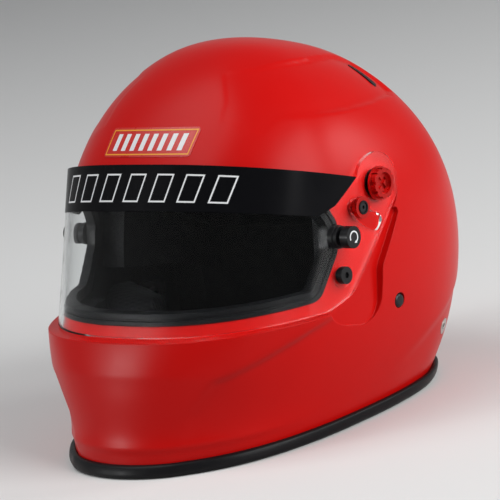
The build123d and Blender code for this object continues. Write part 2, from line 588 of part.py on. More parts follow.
mesh = (vent_shape(-HAIR) & form(CHANNEL_DEPTH + mesh_share * SHELL_WALL)) - form(SHELL_WALL - EASE)
for k in range(VENT_HOLES):
    step = VENT_SLOT_L / (VENT_HOLES + 1) * (k + 1) - VENT_SLOT_L / 2
    mesh = mesh - Pos(VENT_X, VENT_Y, 0) * Rot(0, 0, VENT_TURN) * Pos(step, 0, 0) \
        * extrude(Circle(VENT_SLOT_L / (VENT_HOLES + 1) * VENT_HOLE_SHARE / 2), REACH)

# pieces drawn where the helmet stands: the strap plane is upright there
stand_y = (stand_turn * Pos(0, BOLT_Y, BOLT_Z - HANGER_H / 2)).position
strap_y, strap_top = stand_y.Y, stand_y.Z


def ribbon(points, bend):
    """Webbing laid along straight runs and bends, in an upright plane across the helmet."""
    path = FilletPolyline(*[(x, strap_y, z) for x, z in points], radius=bend)
    return sweep(Plane(path @ 0, x_dir=(0, 1, 0), z_dir=path % 0) * Rectangle(STRAP_WIDTH, STRAP_WALL), path)


strap_x = hanger_face - HANGER_T - EASE - STRAP_WALL / 2
left_run = [(strap_x, strap_top), (bolt_face - STRAP_TURN_GAP, STRAP_TURN_RISE),
            (bolt_face - STRAP_LOW_GAP, STRAP_LEVEL)]
long_strap = ribbon(left_run + [(LONG_END_X, STRAP_LEVEL)], STRAP_BEND)
short_run = [(-x, z) for x, z in left_run] + [(SHORT_END_X - LOOP_D / 2 + LOOP_WALL / 2, STRAP_LEVEL)]
short_strap = ribbon(short_run, STRAP_BEND)
loop_tube = Plane.XZ * (Circle(LOOP_D / 2) - Circle(LOOP_D / 2 - LOOP_WALL))
loop_place = Pos(SHORT_END_X, strap_y + STRAP_WIDTH / 2, STRAP_LEVEL)
loop = loop_place * extrude(loop_tube, STRAP_WIDTH)
loop_bore = loop_place * extrude(Plane.XZ * Circle(LOOP_D / 2 - LOOP_WALL), STRAP_WIDTH)
short_strap = short_strap - loop_bore + loop


def ring(rise):
    """A wire ring whose straight bar lies in the sewn loop."""
    path = RectangleRounded(RING_L, RING_W, RING_CORNER).wire()
    start = path @ 0
    wire = sweep(Plane(start, z_dir=path % 0) * Circle(RING_WIRE / 2), path)
    return Pos(SHORT_END_X + RING_L / 2, strap_y, STRAP_LEVEL + rise) * wire


upper_ring, lower_ring = ring(RING_RISE), ring(-RING_RISE)
strap_pad = Box(STRAP_PAD_END - STRAP_PAD_START, STRAP_PAD_W, STRAP_PAD_T)
strap_pad = fillet(strap_pad.edges().filter_by(Axis.X), STRAP_PAD_ROUND)
strap_pad = Pos((STRAP_PAD_START + STRAP_PAD_END) / 2, strap_y, STRAP_LEVEL) * strap_pad
strap_room = Box(REACH, STRAP_WIDTH + 2 * EASE, STRAP_WALL + 2 * EASE)
strap_pad = strap_pad - Pos(0, strap_y, STRAP_LEVEL) * strap_room

roll_points = [(ROLL_HALF, ROLL_START_Y), (ROLL_HALF, ROLL_START_Y + ROLL_BACK * roll_shares[0]),
               (ROLL_HALF * roll_shares[1], ROLL_START_Y + ROLL_BACK)]
roll_points = roll_points + [(-x, y) for x, y in reversed(roll_points)]
roll_path = FilletPolyline(*[(x, y, ROLL_RISE) for x, y in roll_points], radius=ROLL_HALF * roll_shares[2])
roll_start = Plane(roll_path @ 0, x_dir=(1, 0, 0), z_dir=roll_path % 0)
roll = sweep(roll_start * Ellipse(ROLL_WIDTH / 2, ROLL_HEIGHT / 2), roll_path)

badge_corners = [(fore * BADGE_WIDTH / 2 + upper * BADGE_SLANT / 2, upper * BADGE_HEIGHT / 2, BADGE_CORNER)
                 for fore, upper in ((-1, -1), (1, -1), (1, 1), (-1, 1))]
badge_face = Plane.XZ * Pos(0, BADGE_Z) * rounded_face(badge_corners)
badge = (form(-BADGE_WALL - HAIR) - form(-HAIR)) & extrude(badge_face, REACH)

# Stand the pieces up and write them
worn = {"outer_shell": shell, "impact_liner": foam, "chin_bar_foam": chin_foam, "crown_pad": crown_pad,
        "rim_trim": trim, "eyeport_gasket": gasket, "visor": shield, "sun_strip": strip,
        "forehead_panel": badge}
pairs = {"cheek_pad": cheek, "pivot_bush": bush, "pivot_nut": nut, "pivot_screw": screw, "guide_post": post,
         "guide_ring": o_ring, "guide_screw": post_screw, "tearoff_saddle": saddle, "tearoff_cam": cam,
         "tearoff_spindle": cam_spindle, "visor_stud": stud, "visor_stud_screw": stud_screw,
         "strap_bolt": bolt, "strap_hanger": hanger, "strap_nut": bolt_nut, "anchor_insert": anchor,
         "vent_mesh": mesh}
standing = {"long_chin_strap": long_strap, "short_chin_strap": short_strap, "upper_strap_ring": upper_ring,
            "lower_strap_ring": lower_ring, "chin_strap_pad": strap_pad, "neck_roll": roll}
pieces = {name: stand_turn * solid_of(shape) for name, shape in worn.items()}
for name, shape in pairs.items():
    piece = solid_of(shape)
    pieces["left_" + name] = stand_turn * piece
    pieces["right_" + name] = stand_turn * mirrored(piece)
for name, shape in standing.items():
    pieces[name] = solid_of(shape)

boxes = [piece.bounding_box() for piece in pieces.values()]
for name, box in zip(pieces, boxes):
    if box.min.Z < -HAIR or len(pieces[name].solids()) != 1:
        print("below the rim or in parts:", name, round(box.min.Z, 2))
shift = -(min(box.min.Y for box in boxes) + max(box.max.Y for box in boxes)) / 2
centre = Pos(0, shift, 0)
os.makedirs("parts", exist_ok=True)
for name, piece in pieces.items():
    placed = centre * piece
    export_step(placed, "parts/" + name + ".step")
    if not placed.is_valid:
        print("not valid", name)


def told(label, place):
    """Prints where a place of the worn helmet stands."""
    spot = (centre * stand_turn * place).position
    print(label, [round(value, 3) for value in spot])


size = [max(getattr(box.max, axis) for box in boxes) - min(getattr(box.min, axis) for box in boxes)
        for axis in ("X", "Y", "Z")]
print("size", [round(length, 2) for length in size], "lowest", round(min(box.min.Z for box in boxes), 3))
told("pivot", Pos(shield_half, 0, 0))
told("tear-off cam", Pos(cam_end, CAM_Y, CAM_Z))
told("strap bolt", Pos(bolt_seat, BOLT_Y, BOLT_Z))
told("anchor face", anchor_place)
told("anchor axis end", anchor_place * Pos(0, 0, SHELL_WIDTH))
print("strap loop", SHORT_END_X, round(strap_y + shift, 3), STRAP_LEVEL, "shift", round(shift, 3))
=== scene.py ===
# %% [markdown]
# # A full-face auto racing helmet
# The helmet stands on its rubber rim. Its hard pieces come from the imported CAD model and
# keep their places here. This script gives every one of them a finish, and makes new
# surfaces for the painted shell, the rim moulding, the pads, the webbing and the printed
# shapes. Each shape is a small formula worked out on a grid of numbers with numpy.

# %% Load the frame
import json
import math
import bmesh
import bpy
import numpy as np
from mathutils import Matrix, Vector


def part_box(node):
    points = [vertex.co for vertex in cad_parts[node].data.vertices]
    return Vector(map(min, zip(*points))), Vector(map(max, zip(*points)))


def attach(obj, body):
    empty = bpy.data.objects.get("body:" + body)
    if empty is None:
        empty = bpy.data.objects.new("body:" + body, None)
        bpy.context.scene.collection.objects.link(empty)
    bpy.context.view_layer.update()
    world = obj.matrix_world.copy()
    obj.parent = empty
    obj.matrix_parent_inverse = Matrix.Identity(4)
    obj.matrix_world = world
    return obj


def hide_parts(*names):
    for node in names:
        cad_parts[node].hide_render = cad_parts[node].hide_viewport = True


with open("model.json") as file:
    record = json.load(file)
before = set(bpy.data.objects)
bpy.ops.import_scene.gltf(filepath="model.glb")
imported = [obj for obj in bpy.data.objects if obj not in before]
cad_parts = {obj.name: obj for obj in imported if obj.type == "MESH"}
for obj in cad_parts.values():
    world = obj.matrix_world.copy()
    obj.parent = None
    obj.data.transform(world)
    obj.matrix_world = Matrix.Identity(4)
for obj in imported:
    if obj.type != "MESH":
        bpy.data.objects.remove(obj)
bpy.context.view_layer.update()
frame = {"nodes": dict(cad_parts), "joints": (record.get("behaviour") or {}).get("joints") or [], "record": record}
nodes = frame["nodes"]

# %% [markdown]
# ## Two ways of standing
# A helmet is drawn the way it is worn, with the visor's pivot line as zero. On a shelf it
# tips back by a few degrees until its rim lies flat. All formulas below use the worn
# position in millimetres, because the outlines are simple there. One function then turns
# the points into the shelf position in metres, which is the frame that Blender shows.

# %% From worn millimetres to shelf metres
TILT = math.radians(11.9)
RIM_DROP, RIM_SLOPE = 167.8, 0.2107
hinge = next(joint for joint in frame["joints"] if joint["name"] == "visor_hinge")
pivot = np.array(hinge["pos_m"])


def stand(points):
    """Turn worn points (mm) about X by the tilt, then lift the pivot line to its height (m)."""
    x, y, z = np.moveaxis(np.asarray(points, float), -1, 0)
    back = y * math.cos(TILT) + z * math.sin(TILT)
    up = z * math.cos(TILT) - y * math.sin(TILT)
    return np.stack([x, back, up], -1) / 1000 + pivot * (0, 1, 1)


def wear(points):
    """The opposite of stand: shelf metres back to worn millimetres."""
    x, y, z = np.moveaxis((np.asarray(points, float) - pivot * (0, 1, 1)) * 1000, -1, 0)
    back = y * math.cos(TILT) - z * math.sin(TILT)
    up = z * math.cos(TILT) + y * math.sin(TILT)
    return np.stack([x, back, up], -1)


print("pivot line stands at", np.round(pivot * 1000, 1), "mm")

# %% [markdown]
# ## The camera
# The camera looks from the wearer's left front, almost level with the tilted helmet, from
# 2.2 m away with a long lens. Its direction was worked out from the photograph's outline.
# The view is given in the worn position, so it is turned by the same tilt as the helmet.

# %% Set up the camera
FRAME_PIXELS, PIXELS_PER_MM, DISTANCE = 500, 1.39, 2200.0
MIDDLE = np.array([0.0, -6.11, -8.51])
MIDDLE_PIXEL = np.array([237.64, 195.13])


def unit(arrows):
    """Arrows scaled to length 1. One of no length stays zero."""
    return arrows / np.maximum(np.linalg.norm(arrows, axis=-1, keepdims=True), 1e-9)


def add_object(name, data):
    """Puts a mesh, a lamp or a camera into the scene."""
    thing = bpy.data.objects.new(name, data)
    bpy.context.scene.collection.objects.link(thing)
    return thing


turn, rise, roll = np.radians([40.98, 1.8, 1.38])
toward = np.array([np.sin(turn) * np.cos(rise), -np.cos(turn) * np.cos(rise), np.sin(rise)])
level = np.array([np.cos(turn), np.sin(turn), 0.0])
upright = np.cross(toward, level)
right = np.cos(roll) * level - np.sin(roll) * upright
up = np.sin(roll) * level + np.cos(roll) * upright
aside, below = (FRAME_PIXELS / 2 - MIDDLE_PIXEL) / PIXELS_PER_MM
eye = stand(MIDDLE + toward * DISTANCE)
aim = stand(MIDDLE + aside * right - below * up)
out = unit(eye - aim)
across = stand(MIDDLE + right) - stand(MIDDLE)
across = unit(across - out * (across @ out))
lens = bpy.data.cameras.new("photo_camera")
lens.sensor_width = 36.0
lens.lens = PIXELS_PER_MM * DISTANCE * lens.sensor_width / FRAME_PIXELS
camera = add_object("photo_camera", lens)
axes = np.column_stack([across, np.cross(out, across), out, eye])
camera.matrix_world = Matrix([*axes.tolist(), [0, 0, 0, 1]])
bpy.context.scene.camera = camera
print("lens", round(lens.lens, 1), "mm, eye at", np.round(eye, 3))

# %% [markdown]
# ## Finishes
# A real surface is never one flat colour. Each finish starts from the Principled shader
# and adds noise in Object coordinates, so the grain has a size in millimetres and stays
# with the piece from every side. Fine noise goes to the bump, coarse noise to the
# roughness and a little to the colour. A Bevel node rounds the light on hard edges.

# %% A base for every finish
MIX_A, MIX_B, MIX_RESULT = 6, 7, 2
finishes = {}


def principled(made):
    """The one shader that every finish starts from."""
    return made.node_tree.nodes["Principled BSDF"]


def finish(name, colour, roughness, metallic=0.0, **more):
    """A material whose plain values sit on the Principled shader's own sockets."""
    made = bpy.data.materials.new(name)
    made.use_nodes = True
    made.diffuse_color = (*colour, 1.0)
    values = dict(Base_Color=(*colour, 1.0), Roughness=roughness, Metallic=metallic, **more)
    for socket, value in values.items():
        principled(made).inputs[socket.replace("_", " ")].default_value = value
    finishes[name] = made
    return made


def add(made, kind, **values):
    """A new shader node with its settings and its unlinked inputs filled in."""
    node = made.node_tree.nodes.new(kind)
    for key, value in values.items():
        if hasattr(node, key):
            setattr(node, key, value)
        else:
            node.inputs[key.replace("_", " ")].default_value = value
    return node


def wire(made, source, target):
    """Joins an output socket to an input socket."""
    made.node_tree.links.new(source, target)


def spot(made, **settings):
    """Object coordinates, stretched or turned by a Mapping node."""
    where = add(made, "ShaderNodeTexCoord")
    mapping = add(made, "ShaderNodeMapping", **settings)
    wire(made, where.outputs["Object"], mapping.inputs["Vector"])
    return mapping.outputs["Vector"]


def noise(made, size_mm, detail=3.0, stretch=(1, 1, 1)):
    """Noise whose features are about size_mm across."""
    node = add(made, "ShaderNodeTexNoise", Scale=1000.0 / size_mm, Detail=detail, Roughness=0.55)
    wire(made, spot(made, Scale=stretch), node.inputs["Vector"])
    return node.outputs["Fac"]


def spread(made, value, low, high):
    """Maps the noise's usual values, 0.3 to 0.7, onto a range."""
    node = add(made, "ShaderNodeMapRange", From_Min=0.3, From_Max=0.7, To_Min=low, To_Max=high)
    wire(made, value, node.inputs["Value"])
    return node.outputs["Result"]


def vary_roughness(made, size_mm, low, high):
    """Coarse noise drives the roughness, as handling and moulding do."""
    wire(made, spread(made, noise(made, size_mm), low, high), principled(made).inputs["Roughness"])


def vary_colour(made, size_mm, other):
    """Coarse noise mixes the base colour with a near one."""
    base = principled(made).inputs["Base Color"]
    mix = add(made, "ShaderNodeMix", data_type="RGBA")
    mix.inputs[MIX_A].default_value = base.default_value
    mix.inputs[MIX_B].default_value = (*other, 1.0)
    wire(made, spread(made, noise(made, size_mm), 0.0, 1.0), mix.inputs["Factor"])
    wire(made, mix.outputs[MIX_RESULT], base)


def relief(made, heights, depths_mm, edge_mm=0.0):
    """Stacks bump nodes, one for each height, on normals rounded at the edges."""
    normal = None
    if edge_mm:
        edge = add(made, "ShaderNodeBevel", samples=6, Radius=edge_mm / 1000)
        normal = edge.outputs["Normal"]
    for height, depth in zip(heights, depths_mm):
        bump = add(made, "ShaderNodeBump", Strength=1.0, Distance=depth / 1000)
        wire(made, height, bump.inputs["Height"])
        if normal is not None:
            wire(made, normal, bump.inputs["Normal"])
        normal = bump.outputs["Normal"]
    wire(made, normal, principled(made).inputs["Normal"])


def coat(name, colour, roughness, drift, grains, edge_mm=0.0, **more):
    """A finish whose roughness drifts (size, low, high) and whose surface has grains.

    Each grain is a bump: its depth, then the size, detail and stretch of its noise.
    """
    made = finish(name, colour, roughness, **more)
    vary_roughness(made, *drift)
    heights = [noise(made, *grain[1:]) for grain in grains]
    relief(made, heights, [grain[0] for grain in grains], edge_mm)
    return made


def other_for(made, ray, other):
    """Shows another shader to one kind of ray: a Mix Shader switched by the Light Path."""
    path = add(made, "ShaderNodeLightPath")
    either = add(made, "ShaderNodeMixShader")
    wire(made, path.outputs[ray], either.inputs["Fac"])
    wire(made, principled(made).outputs["BSDF"], either.inputs[1])
    wire(made, other.outputs["BSDF"], either.inputs[2])
    wire(made, either.outputs["Shader"], made.node_tree.nodes["Material Output"].inputs["Surface"])


# %% [markdown]
# ### Satin red paint
# The shell is sprayed in a satin red, so its highlights are wide and soft. A broad drift
# of roughness keeps the highlight from looking like plastic, and a very shallow,
# millimetre-sized ripple stands for the orange peel that every sprayed coat has. Inside,
# the laminate stays bare: dull, dark and a little uneven.

# %% Red paint and bare laminate
red_paint = coat("satin_red_paint", (0.58, 0.004, 0.003), 0.32, (45.0, 0.29, 0.36),
                 [(0.006, 2.2, 2.0)], edge_mm=1.1, Specular_IOR_Level=0.16)
vary_colour(red_paint, 120.0, (0.55, 0.0035, 0.0025))
laminate = coat("bare_laminate", (0.012, 0.012, 0.013), 0.6, (6.0, 0.5, 0.7),
                [(0.05, 1.5)], Specular_IOR_Level=0.2)

# %% [markdown]
# ### Rubber, mouldings and print
# Rubber is nearly black and scatters light widely, with a fine grain from its mould. The
# moulded plastic parts are a little smoother. Printed film is thin, even and glossier.

# %% Black rubber, moulded plastic and printed films
rubber = coat("black_rubber", (0.005, 0.005, 0.006), 0.42, (9.0, 0.34, 0.46),
              [(0.03, 0.7, 4.0), (0.12, 14.0)], edge_mm=0.5, Specular_IOR_Level=0.16)
moulding = coat("black_moulding", (0.006, 0.006, 0.007), 0.36, (4.0, 0.33, 0.45),
                [(0.012, 0.35, 3.0)], edge_mm=0.35, Specular_IOR_Level=0.24)
black_film = coat("black_film", (0.004, 0.004, 0.005), 0.24, (30.0, 0.20, 0.28),
                  [(0.05, 60.0, 1.0)], Specular_IOR_Level=0.07)
red_film = coat("red_film", (0.58, 0.016, 0.010), 0.28, (12.0, 0.24, 0.34),
                [(0.004, 0.6)], edge_mm=0.2)
white_ink = coat("white_ink", (0.82, 0.83, 0.84), 0.35, (6.0, 0.3, 0.42), [(0.006, 0.5)])
amber_ink = coat("amber_ink", (0.85, 0.34, 0.02), 0.35, (6.0, 0.3, 0.42), [(0.006, 0.5)])

# %% [markdown]
# ### Clear polycarbonate
# The visor is a clear sheet with a coating that keeps reflections faint, so its index is
# set low. Glass in a path tracer throws a full shadow, so a second, transparent shader
# takes over for shadow rays only. Lamps then reach the gasket and the painted ledge
# behind the sheet.

# %% Clear visor
clear = finish("clear_polycarbonate", (0.96, 0.975, 0.975), 0.03, IOR=1.20,
               Transmission_Weight=1.0)
other_for(clear, "Is Shadow Ray",
          add(clear, "ShaderNodeBsdfTransparent", Color=(0.70, 0.72, 0.72, 1.0)))
relief(clear, [noise(clear, 90.0, 1.0)], [0.02])

# %% [markdown]
# ### Metals
# The pivot screws and guide posts are turned from aluminium and dyed red, which leaves a
# metal that tints its reflections. Steel parts are plain or blackened. A noise stretched
# along one axis gives the fine lines that turning or brushing leaves.

# %% Anodised red, steel and aluminium
anodised = coat("red_anodised", (0.50, 0.012, 0.010), 0.30, (3.0, 0.24, 0.36),
                [(0.008, 0.5, 2.0, (6, 1, 1))], edge_mm=0.3, metallic=0.85)
steel = coat("satin_steel", (0.60, 0.60, 0.61), 0.30, (2.0, 0.25, 0.40),
             [(0.008, 0.4, 2.0, (1, 5, 5))], edge_mm=0.3, metallic=1.0)
dark_steel = coat("blackened_steel", (0.018, 0.018, 0.020), 0.36, (2.0, 0.30, 0.44),
                  [(0.01, 0.5)], edge_mm=0.35, metallic=0.6)
bare_aluminium = coat("plain_aluminium", (0.62, 0.61, 0.58), 0.32, (2.0, 0.26, 0.42),
                      [(0.008, 0.4, 2.0, (5, 1, 1))], edge_mm=0.3, metallic=1.0)

# %% [markdown]
# ### Foam and cloth
# The impact liner is moulded from small beads that press into flat cells, which a Voronoi
# pattern shows well. The pads wear a knitted cloth: two crossed waves make its stitches,
# and a little sheen stands for the loose fibres at a glancing angle. Webbing has ribs
# along and across, drawn on its own UV map so that they follow its bends.

# %% Bead foam, knit and webbing
foam = finish("bead_foam", (0.018, 0.018, 0.020), 0.75, Specular_IOR_Level=0.2)
cells = add(foam, "ShaderNodeTexVoronoi", feature="DISTANCE_TO_EDGE", Scale=1000.0 / 3.5)
wire(foam, spot(foam), cells.inputs["Vector"])
vary_colour(foam, 5.0, (0.032, 0.032, 0.034))
relief(foam, [cells.outputs["Distance"], noise(foam, 0.8)], [0.5, 0.05], edge_mm=1.0)


def bands(made, axis, half_mm, vector, distortion=0.0):
    """Bands across one axis, about twice half_mm apart: the node turns 20 radians in a unit."""
    wave = add(made, "ShaderNodeTexWave", bands_direction=axis,
               Scale=1000.0 / half_mm / 6.28, Distortion=distortion)
    wire(made, vector, wave.inputs["Vector"])
    return wave.outputs["Fac"]


knit = finish("lining_knit", (0.013, 0.013, 0.015), 0.85, Sheen_Weight=0.06,
              Sheen_Roughness=0.5, Specular_IOR_Level=0.2)
stitches = add(knit, "ShaderNodeMath", operation="MULTIPLY")
for place, (axis, lean) in enumerate((("X", 0.7), ("Y", -0.7))):
    turned = spot(knit, Rotation=(0.5 * lean, 0.6, lean))
    wire(knit, bands(knit, axis, 1.1, turned, 0.6), stitches.inputs[place])
vary_colour(knit, 11.0, (0.0195, 0.0195, 0.0225))
relief(knit, [stitches.outputs["Value"], noise(knit, 8.0)], [0.25, 0.3])

weave = finish("strap_weave", (0.016, 0.016, 0.018), 0.7, Sheen_Weight=0.15)
strap_map = add(weave, "ShaderNodeUVMap", uv_map="strap").outputs["UV"]
ribs = [bands(weave, axis, half_mm, strap_map) for axis, half_mm in (("X", 1.6), ("Y", 1.1))]
vary_colour(weave, 4.0, (0.028, 0.028, 0.030))
relief(weave, ribs, [0.22, 0.12])
print("finishes:", len(finishes))

# %% [markdown]
# ## The head form
# The shell is one smooth closed surface through eight level outlines and the crown. Each
# outline is a superellipse, a squared-off oval. Cubic splines join the outlines, once
# around and once upwards. Both splines are written as tables of weights, so the whole
# surface is the product of two tables with the grid of control points.

# %% Spline weights
AROUND = 20
SHELL_HALF, SHELL_LENGTH, FORM_HEIGHT, CROWN = 126.0, 307.0, 329.0, 106.0
WAIST_SHARE, POLE_SHARE = 0.45, -0.011
# Columns: height, half width, reach ahead, reach behind, squareness ahead and behind.
form_shares = np.array([
    (0.00, 0.715, 0.444, 0.312, 2.05, 3.00),
    (0.16, 0.790, 0.456, 0.398, 2.20, 2.90),
    (0.32, 0.925, 0.452, 0.488, 2.50, 2.70),
    (0.48, 0.996, 0.421, 0.537, 2.65, 2.50),
    (0.64, 0.977, 0.379, 0.525, 2.65, 2.50),
    (0.79, 0.866, 0.315, 0.445, 2.60, 2.50),
    (0.90, 0.653, 0.238, 0.330, 2.45, 2.45),
    (0.97, 0.380, 0.140, 0.193, 2.30, 2.30)])


def power(value, exponent):
    """A power that keeps the sign."""
    return np.sign(value) * np.abs(value) ** exponent


def loop_weights(places, count):
    """How much each of count even knots of a closed cubic spline counts at each place.

    The bends at the knots solve (a + 4b + c) / 6 = second difference.
    """
    knots = np.eye(count)
    before, after = np.roll(knots, -1, 1), np.roll(knots, 1, 1)
    bends = np.linalg.solve((before + 4 * knots + after) / 6, before - 2 * knots + after)
    along = np.mod(places, 1) * count
    low = np.floor(along).astype(int) % count
    part = (along - np.floor(along))[:, None]
    high = (low + 1) % count
    rest = 1 - part
    return (rest * knots[low] + part * knots[high]
            + (rest ** 3 - rest) / 6 * bends[low] + (part ** 3 - part) / 6 * bends[high])


def open_weights(places, knots):
    """The same for an open spline with its own knot places and free ends (no bend there)."""
    count = len(knots)
    gaps = np.diff(knots)
    left_side, right_side = np.eye(count), np.zeros((count, count))
    inner = np.arange(1, count - 1)
    near, far = gaps[:-1], gaps[1:]
    for shift, left, right in ((-1, near / 6, 1 / near), (1, far / 6, 1 / far),
                               (0, (near + far) / 3, -1 / near - 1 / far)):
        left_side[inner, inner + shift] = left
        right_side[inner, inner + shift] = right
    bends = np.linalg.solve(left_side, right_side)
    low = np.clip(np.searchsorted(knots, places, "right") - 1, 0, count - 2)
    gap = gaps[low][:, None]
    part = ((places - knots[low]) / gaps[low])[:, None]
    base = np.eye(count)
    bent = ((1 - part) ** 3 - (1 - part)) * bends[low] + (part ** 3 - part) * bends[low + 1]
    return (1 - part) * base[low] + part * base[low + 1] + gap ** 2 / 6 * bent


def controls(inset):
    """Eight superellipses, x = half cos^(2/n) and y = reach sin^(2/n), and the crown."""
    high, wide, front, rear, front_power, rear_power = form_shares.T[:, :, None]
    z = CROWN - FORM_HEIGHT + high * FORM_HEIGHT
    z = np.where(z > 0, z * (1 - inset / CROWN), z)
    half = wide * SHELL_HALF * (1 - inset / SHELL_HALF)
    front = front * SHELL_LENGTH * (1 - 2 * inset / SHELL_LENGTH)
    rear = rear * SHELL_LENGTH * (1 - 2 * inset / SHELL_LENGTH)
    angle = 2 * np.pi * np.arange(AROUND) / AROUND
    ahead = np.sin(angle) < 0
    squareness = np.where(ahead, front_power, rear_power)
    waist = (rear - front) * WAIST_SHARE
    reach = np.where(ahead, waist + front, rear - waist)
    x = half * power(np.cos(angle), 2 / squareness)
    y = waist + reach * power(np.sin(angle), 2 / squareness)
    grid = np.stack([x, y, z + 0 * x], -1)
    pole = [0.0, POLE_SHARE * SHELL_LENGTH, CROWN - inset]
    return np.concatenate([grid, np.broadcast_to(pole, (1, AROUND, 3))])


def head_form(places_around, places_up, inset=0.0):
    """Worn points (mm) on the head form, for places from 0 to 1 around and upwards."""
    grid = controls(inset)
    steps = np.linalg.norm(np.diff(grid, axis=0), axis=2).mean(1)
    knots = np.concatenate([[0], np.cumsum(steps)]) / steps.sum()
    upward, around = open_weights(places_up, knots), loop_weights(places_around, AROUND)
    return np.einsum("va,ub,abk->vuk", upward, around, grid)


sample = head_form(np.linspace(0, 1, 60, endpoint=False), np.linspace(0, 1, 50)).reshape(-1, 3)
print("head form spans", np.round(sample.min(0)), np.round(sample.max(0)))

# %% [markdown]
# ## From points to a piece
# A grid of points becomes a mesh when every four neighbours make a face. The helpers below
# work out the faces with index arrays, hand the mesh to Blender, hang the piece on the empty
# of the body it rides on, hide the CAD nodes it stands for and give it its finish.

# %% Meshes from grids
def grid_faces(rows, columns, wrap_rows=False, wrap_columns=False):
    """Four-cornered faces between neighbours of a rows by columns grid."""
    r = np.arange(rows if wrap_rows else rows - 1)[:, None]
    c = np.arange(columns if wrap_columns else columns - 1)[None]
    r1, c1 = (r + 1) % rows, (c + 1) % columns
    corners = [r * columns + c, r * columns + c1, r1 * columns + c1, r1 * columns + c]
    return np.stack(np.broadcast_arrays(*corners), -1).reshape(-1, 4)


def cup_faces(rows, columns):
    """Faces of closed loops joined one to the next, with the first one filled."""
    return grid_faces(rows, columns, False, True).tolist() + [list(range(columns))]


def tube_faces(rows, columns):
    """The same with the last loop filled too."""
    return cup_faces(rows, columns) + [list(range((rows - 1) * columns, rows * columns))]


def merge(mesh, face_out=True):
    """Merges doubled points, and turns the faces outwards unless they already are."""
    worked = bmesh.new()
    worked.from_mesh(mesh)
    bmesh.ops.remove_doubles(worked, verts=worked.verts, dist=1e-6)
    if face_out:
        bmesh.ops.recalc_face_normals(worked, faces=worked.faces)
    worked.to_mesh(mesh)
    worked.free()


def build(name, verts, faces):
    """A mesh object at the origin from shelf points in metres."""
    mesh = bpy.data.meshes.new(name)
    faces = [list(face) for face in faces]
    mesh.from_pydata(np.reshape(verts, (-1, 3)).tolist(), [], faces)
    merge(mesh)
    return add_object(name, mesh)


def smooth(mesh, sharp):
    """Smooth shading but for edges over sharp degrees."""
    mesh.shade_smooth()
    mesh.set_sharp_from_angle(angle=math.radians(sharp))


def belong(thing, body, slot, *stands_for):
    """The body a piece rides on and the CAD nodes it stands for. The slot of its finish is not used."""
    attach(thing, body)
    if stands_for:
        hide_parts(*stands_for)


def piece(name, verts, faces, body, made, slot, stands_for=(), sharp=40.0):
    """Builds, shades and dresses one piece, and hangs it on its body."""
    thing = build(name, verts, faces)
    smooth(thing.data, sharp)
    thing.data.materials.append(made)
    belong(thing, body, slot, *stands_for)
    print(name, len(thing.data.vertices), "points")
    return thing


# %% [markdown]
# ## Finishes for the carried-over nodes
# The turned and moulded parts already have their right shapes in the CAD model. They only
# change their material: red dye on the pivot screws and guide posts, black moulding on the
# tear-off posts, steel and rubber on the rest.

# %% Dress the hard parts
def dress(made, *names):
    """Gives CAD nodes a finish."""
    for name in names:
        nodes[name].data.materials.clear()
        nodes[name].data.materials.append(made)


def both(*names):
    """The left and right names of paired nodes."""
    return [side + "_" + name for name in names for side in ("left", "right")]


dress(red_paint, "outer_shell")
dress(clear, "visor")
dress(black_film, "sun_strip")
dress(red_film, "forehead_panel")
dress(foam, "impact_liner", "chin_bar_foam")
dress(rubber, "eyeport_gasket", *both("guide_ring"))
dress(anodised, *both("pivot_screw", "guide_post"))
dress(moulding, *both("pivot_bush", "tearoff_saddle", "tearoff_cam", "visor_stud", "vent_mesh"))
dress(dark_steel, *both("strap_bolt", "guide_screw", "tearoff_spindle"))
dress(steel, "upper_strap_ring", "lower_strap_ring",
      *both("pivot_nut", "visor_stud_screw", "strap_hanger", "strap_nut"))
dress(bare_aluminium, *both("anchor_insert"))

# %% [markdown]
# ## The painted shell
# The real shell is laid up in one mould, so its broad areas run smoothly into each other,
# while the visor's bed, the eyeport and the scoops are crisp. Both come from simple steps.
# The head form is first modelled softly: the chin bar swells above a crease, a brow stands
# along its upper edge, its foot flares out above the rim, the crown has two shallow
# channels and the back has one step. Each of these is a smooth hill or dip, added along
# the surface's own normal.

# %% Soft modelling on the head form
CHIN_OUT, BROW_OUT, FLARE_OUT, STEP_IN, CHANNEL_IN = 3.8, 2.0, 2.6, 1.4, 2.5
BROW_DOWN, BROW_FADE, RIDGE_UP, RIDGE_FADE = 128.0, 18.0, 19.5, 8.0
# One channel from above (x, y), then the chin's crease and the step from the side (y, z).
channel_outline = [
    (37.8, -61.8), (47.5, -55.0), (55.0, -46.1), (59.6, -35.3), (62.5, -22.2), (63.4, -11.4),
    (63.2, 2.6), (60.4, 18.6), (56.0, 38.0), (54.0, 60.0), (61.0, 72.0), (79.0, 74.0),
    (87.0, 64.0), (91.5, 50.5), (96.2, 33.3), (98.3, 18.1), (99.6, -0.1), (99.0, -17.6),
    (96.3, -35.5), (90.7, -49.2), (85.0, -58.5), (81.1, -72.1), (69.9, -80.0), (54.7, -85.1),
    (52.8, -81.0), (51.8, -76.0)]
crease = [
    (-20.0, -84.0), (-42.5, -92.4), (-62.9, -101.9), (-79.3, -111.3), (-90.8, -118.3),
    (-102.0, -125.2), (-114.1, -132.8), (-117.5, -141.9), (-121.0, -155.5), (-121.3, -163.9),
    (-122.0, -180.0), (-123.0, -215.0), (-260.0, -215.0), (-260.0, -60.0), (-20.0, -60.0)]
step_line = (61, -108), (115, -73)


def fade(value, start, end):
    """0 before start, 1 after end, and the smooth step 3t^2 - 2t^3 between."""
    t = np.clip((value - start) / (end - start), 0, 1)
    return t * t * (3 - 2 * t)


def side_of_line(points, first, second):
    """Signed distance of side-view points (y, z) from the line through two places."""
    along = unit(np.subtract(second, first))
    return (points[..., 0] - first[0]) * -along[1] + (points[..., 1] - first[1]) * along[0]


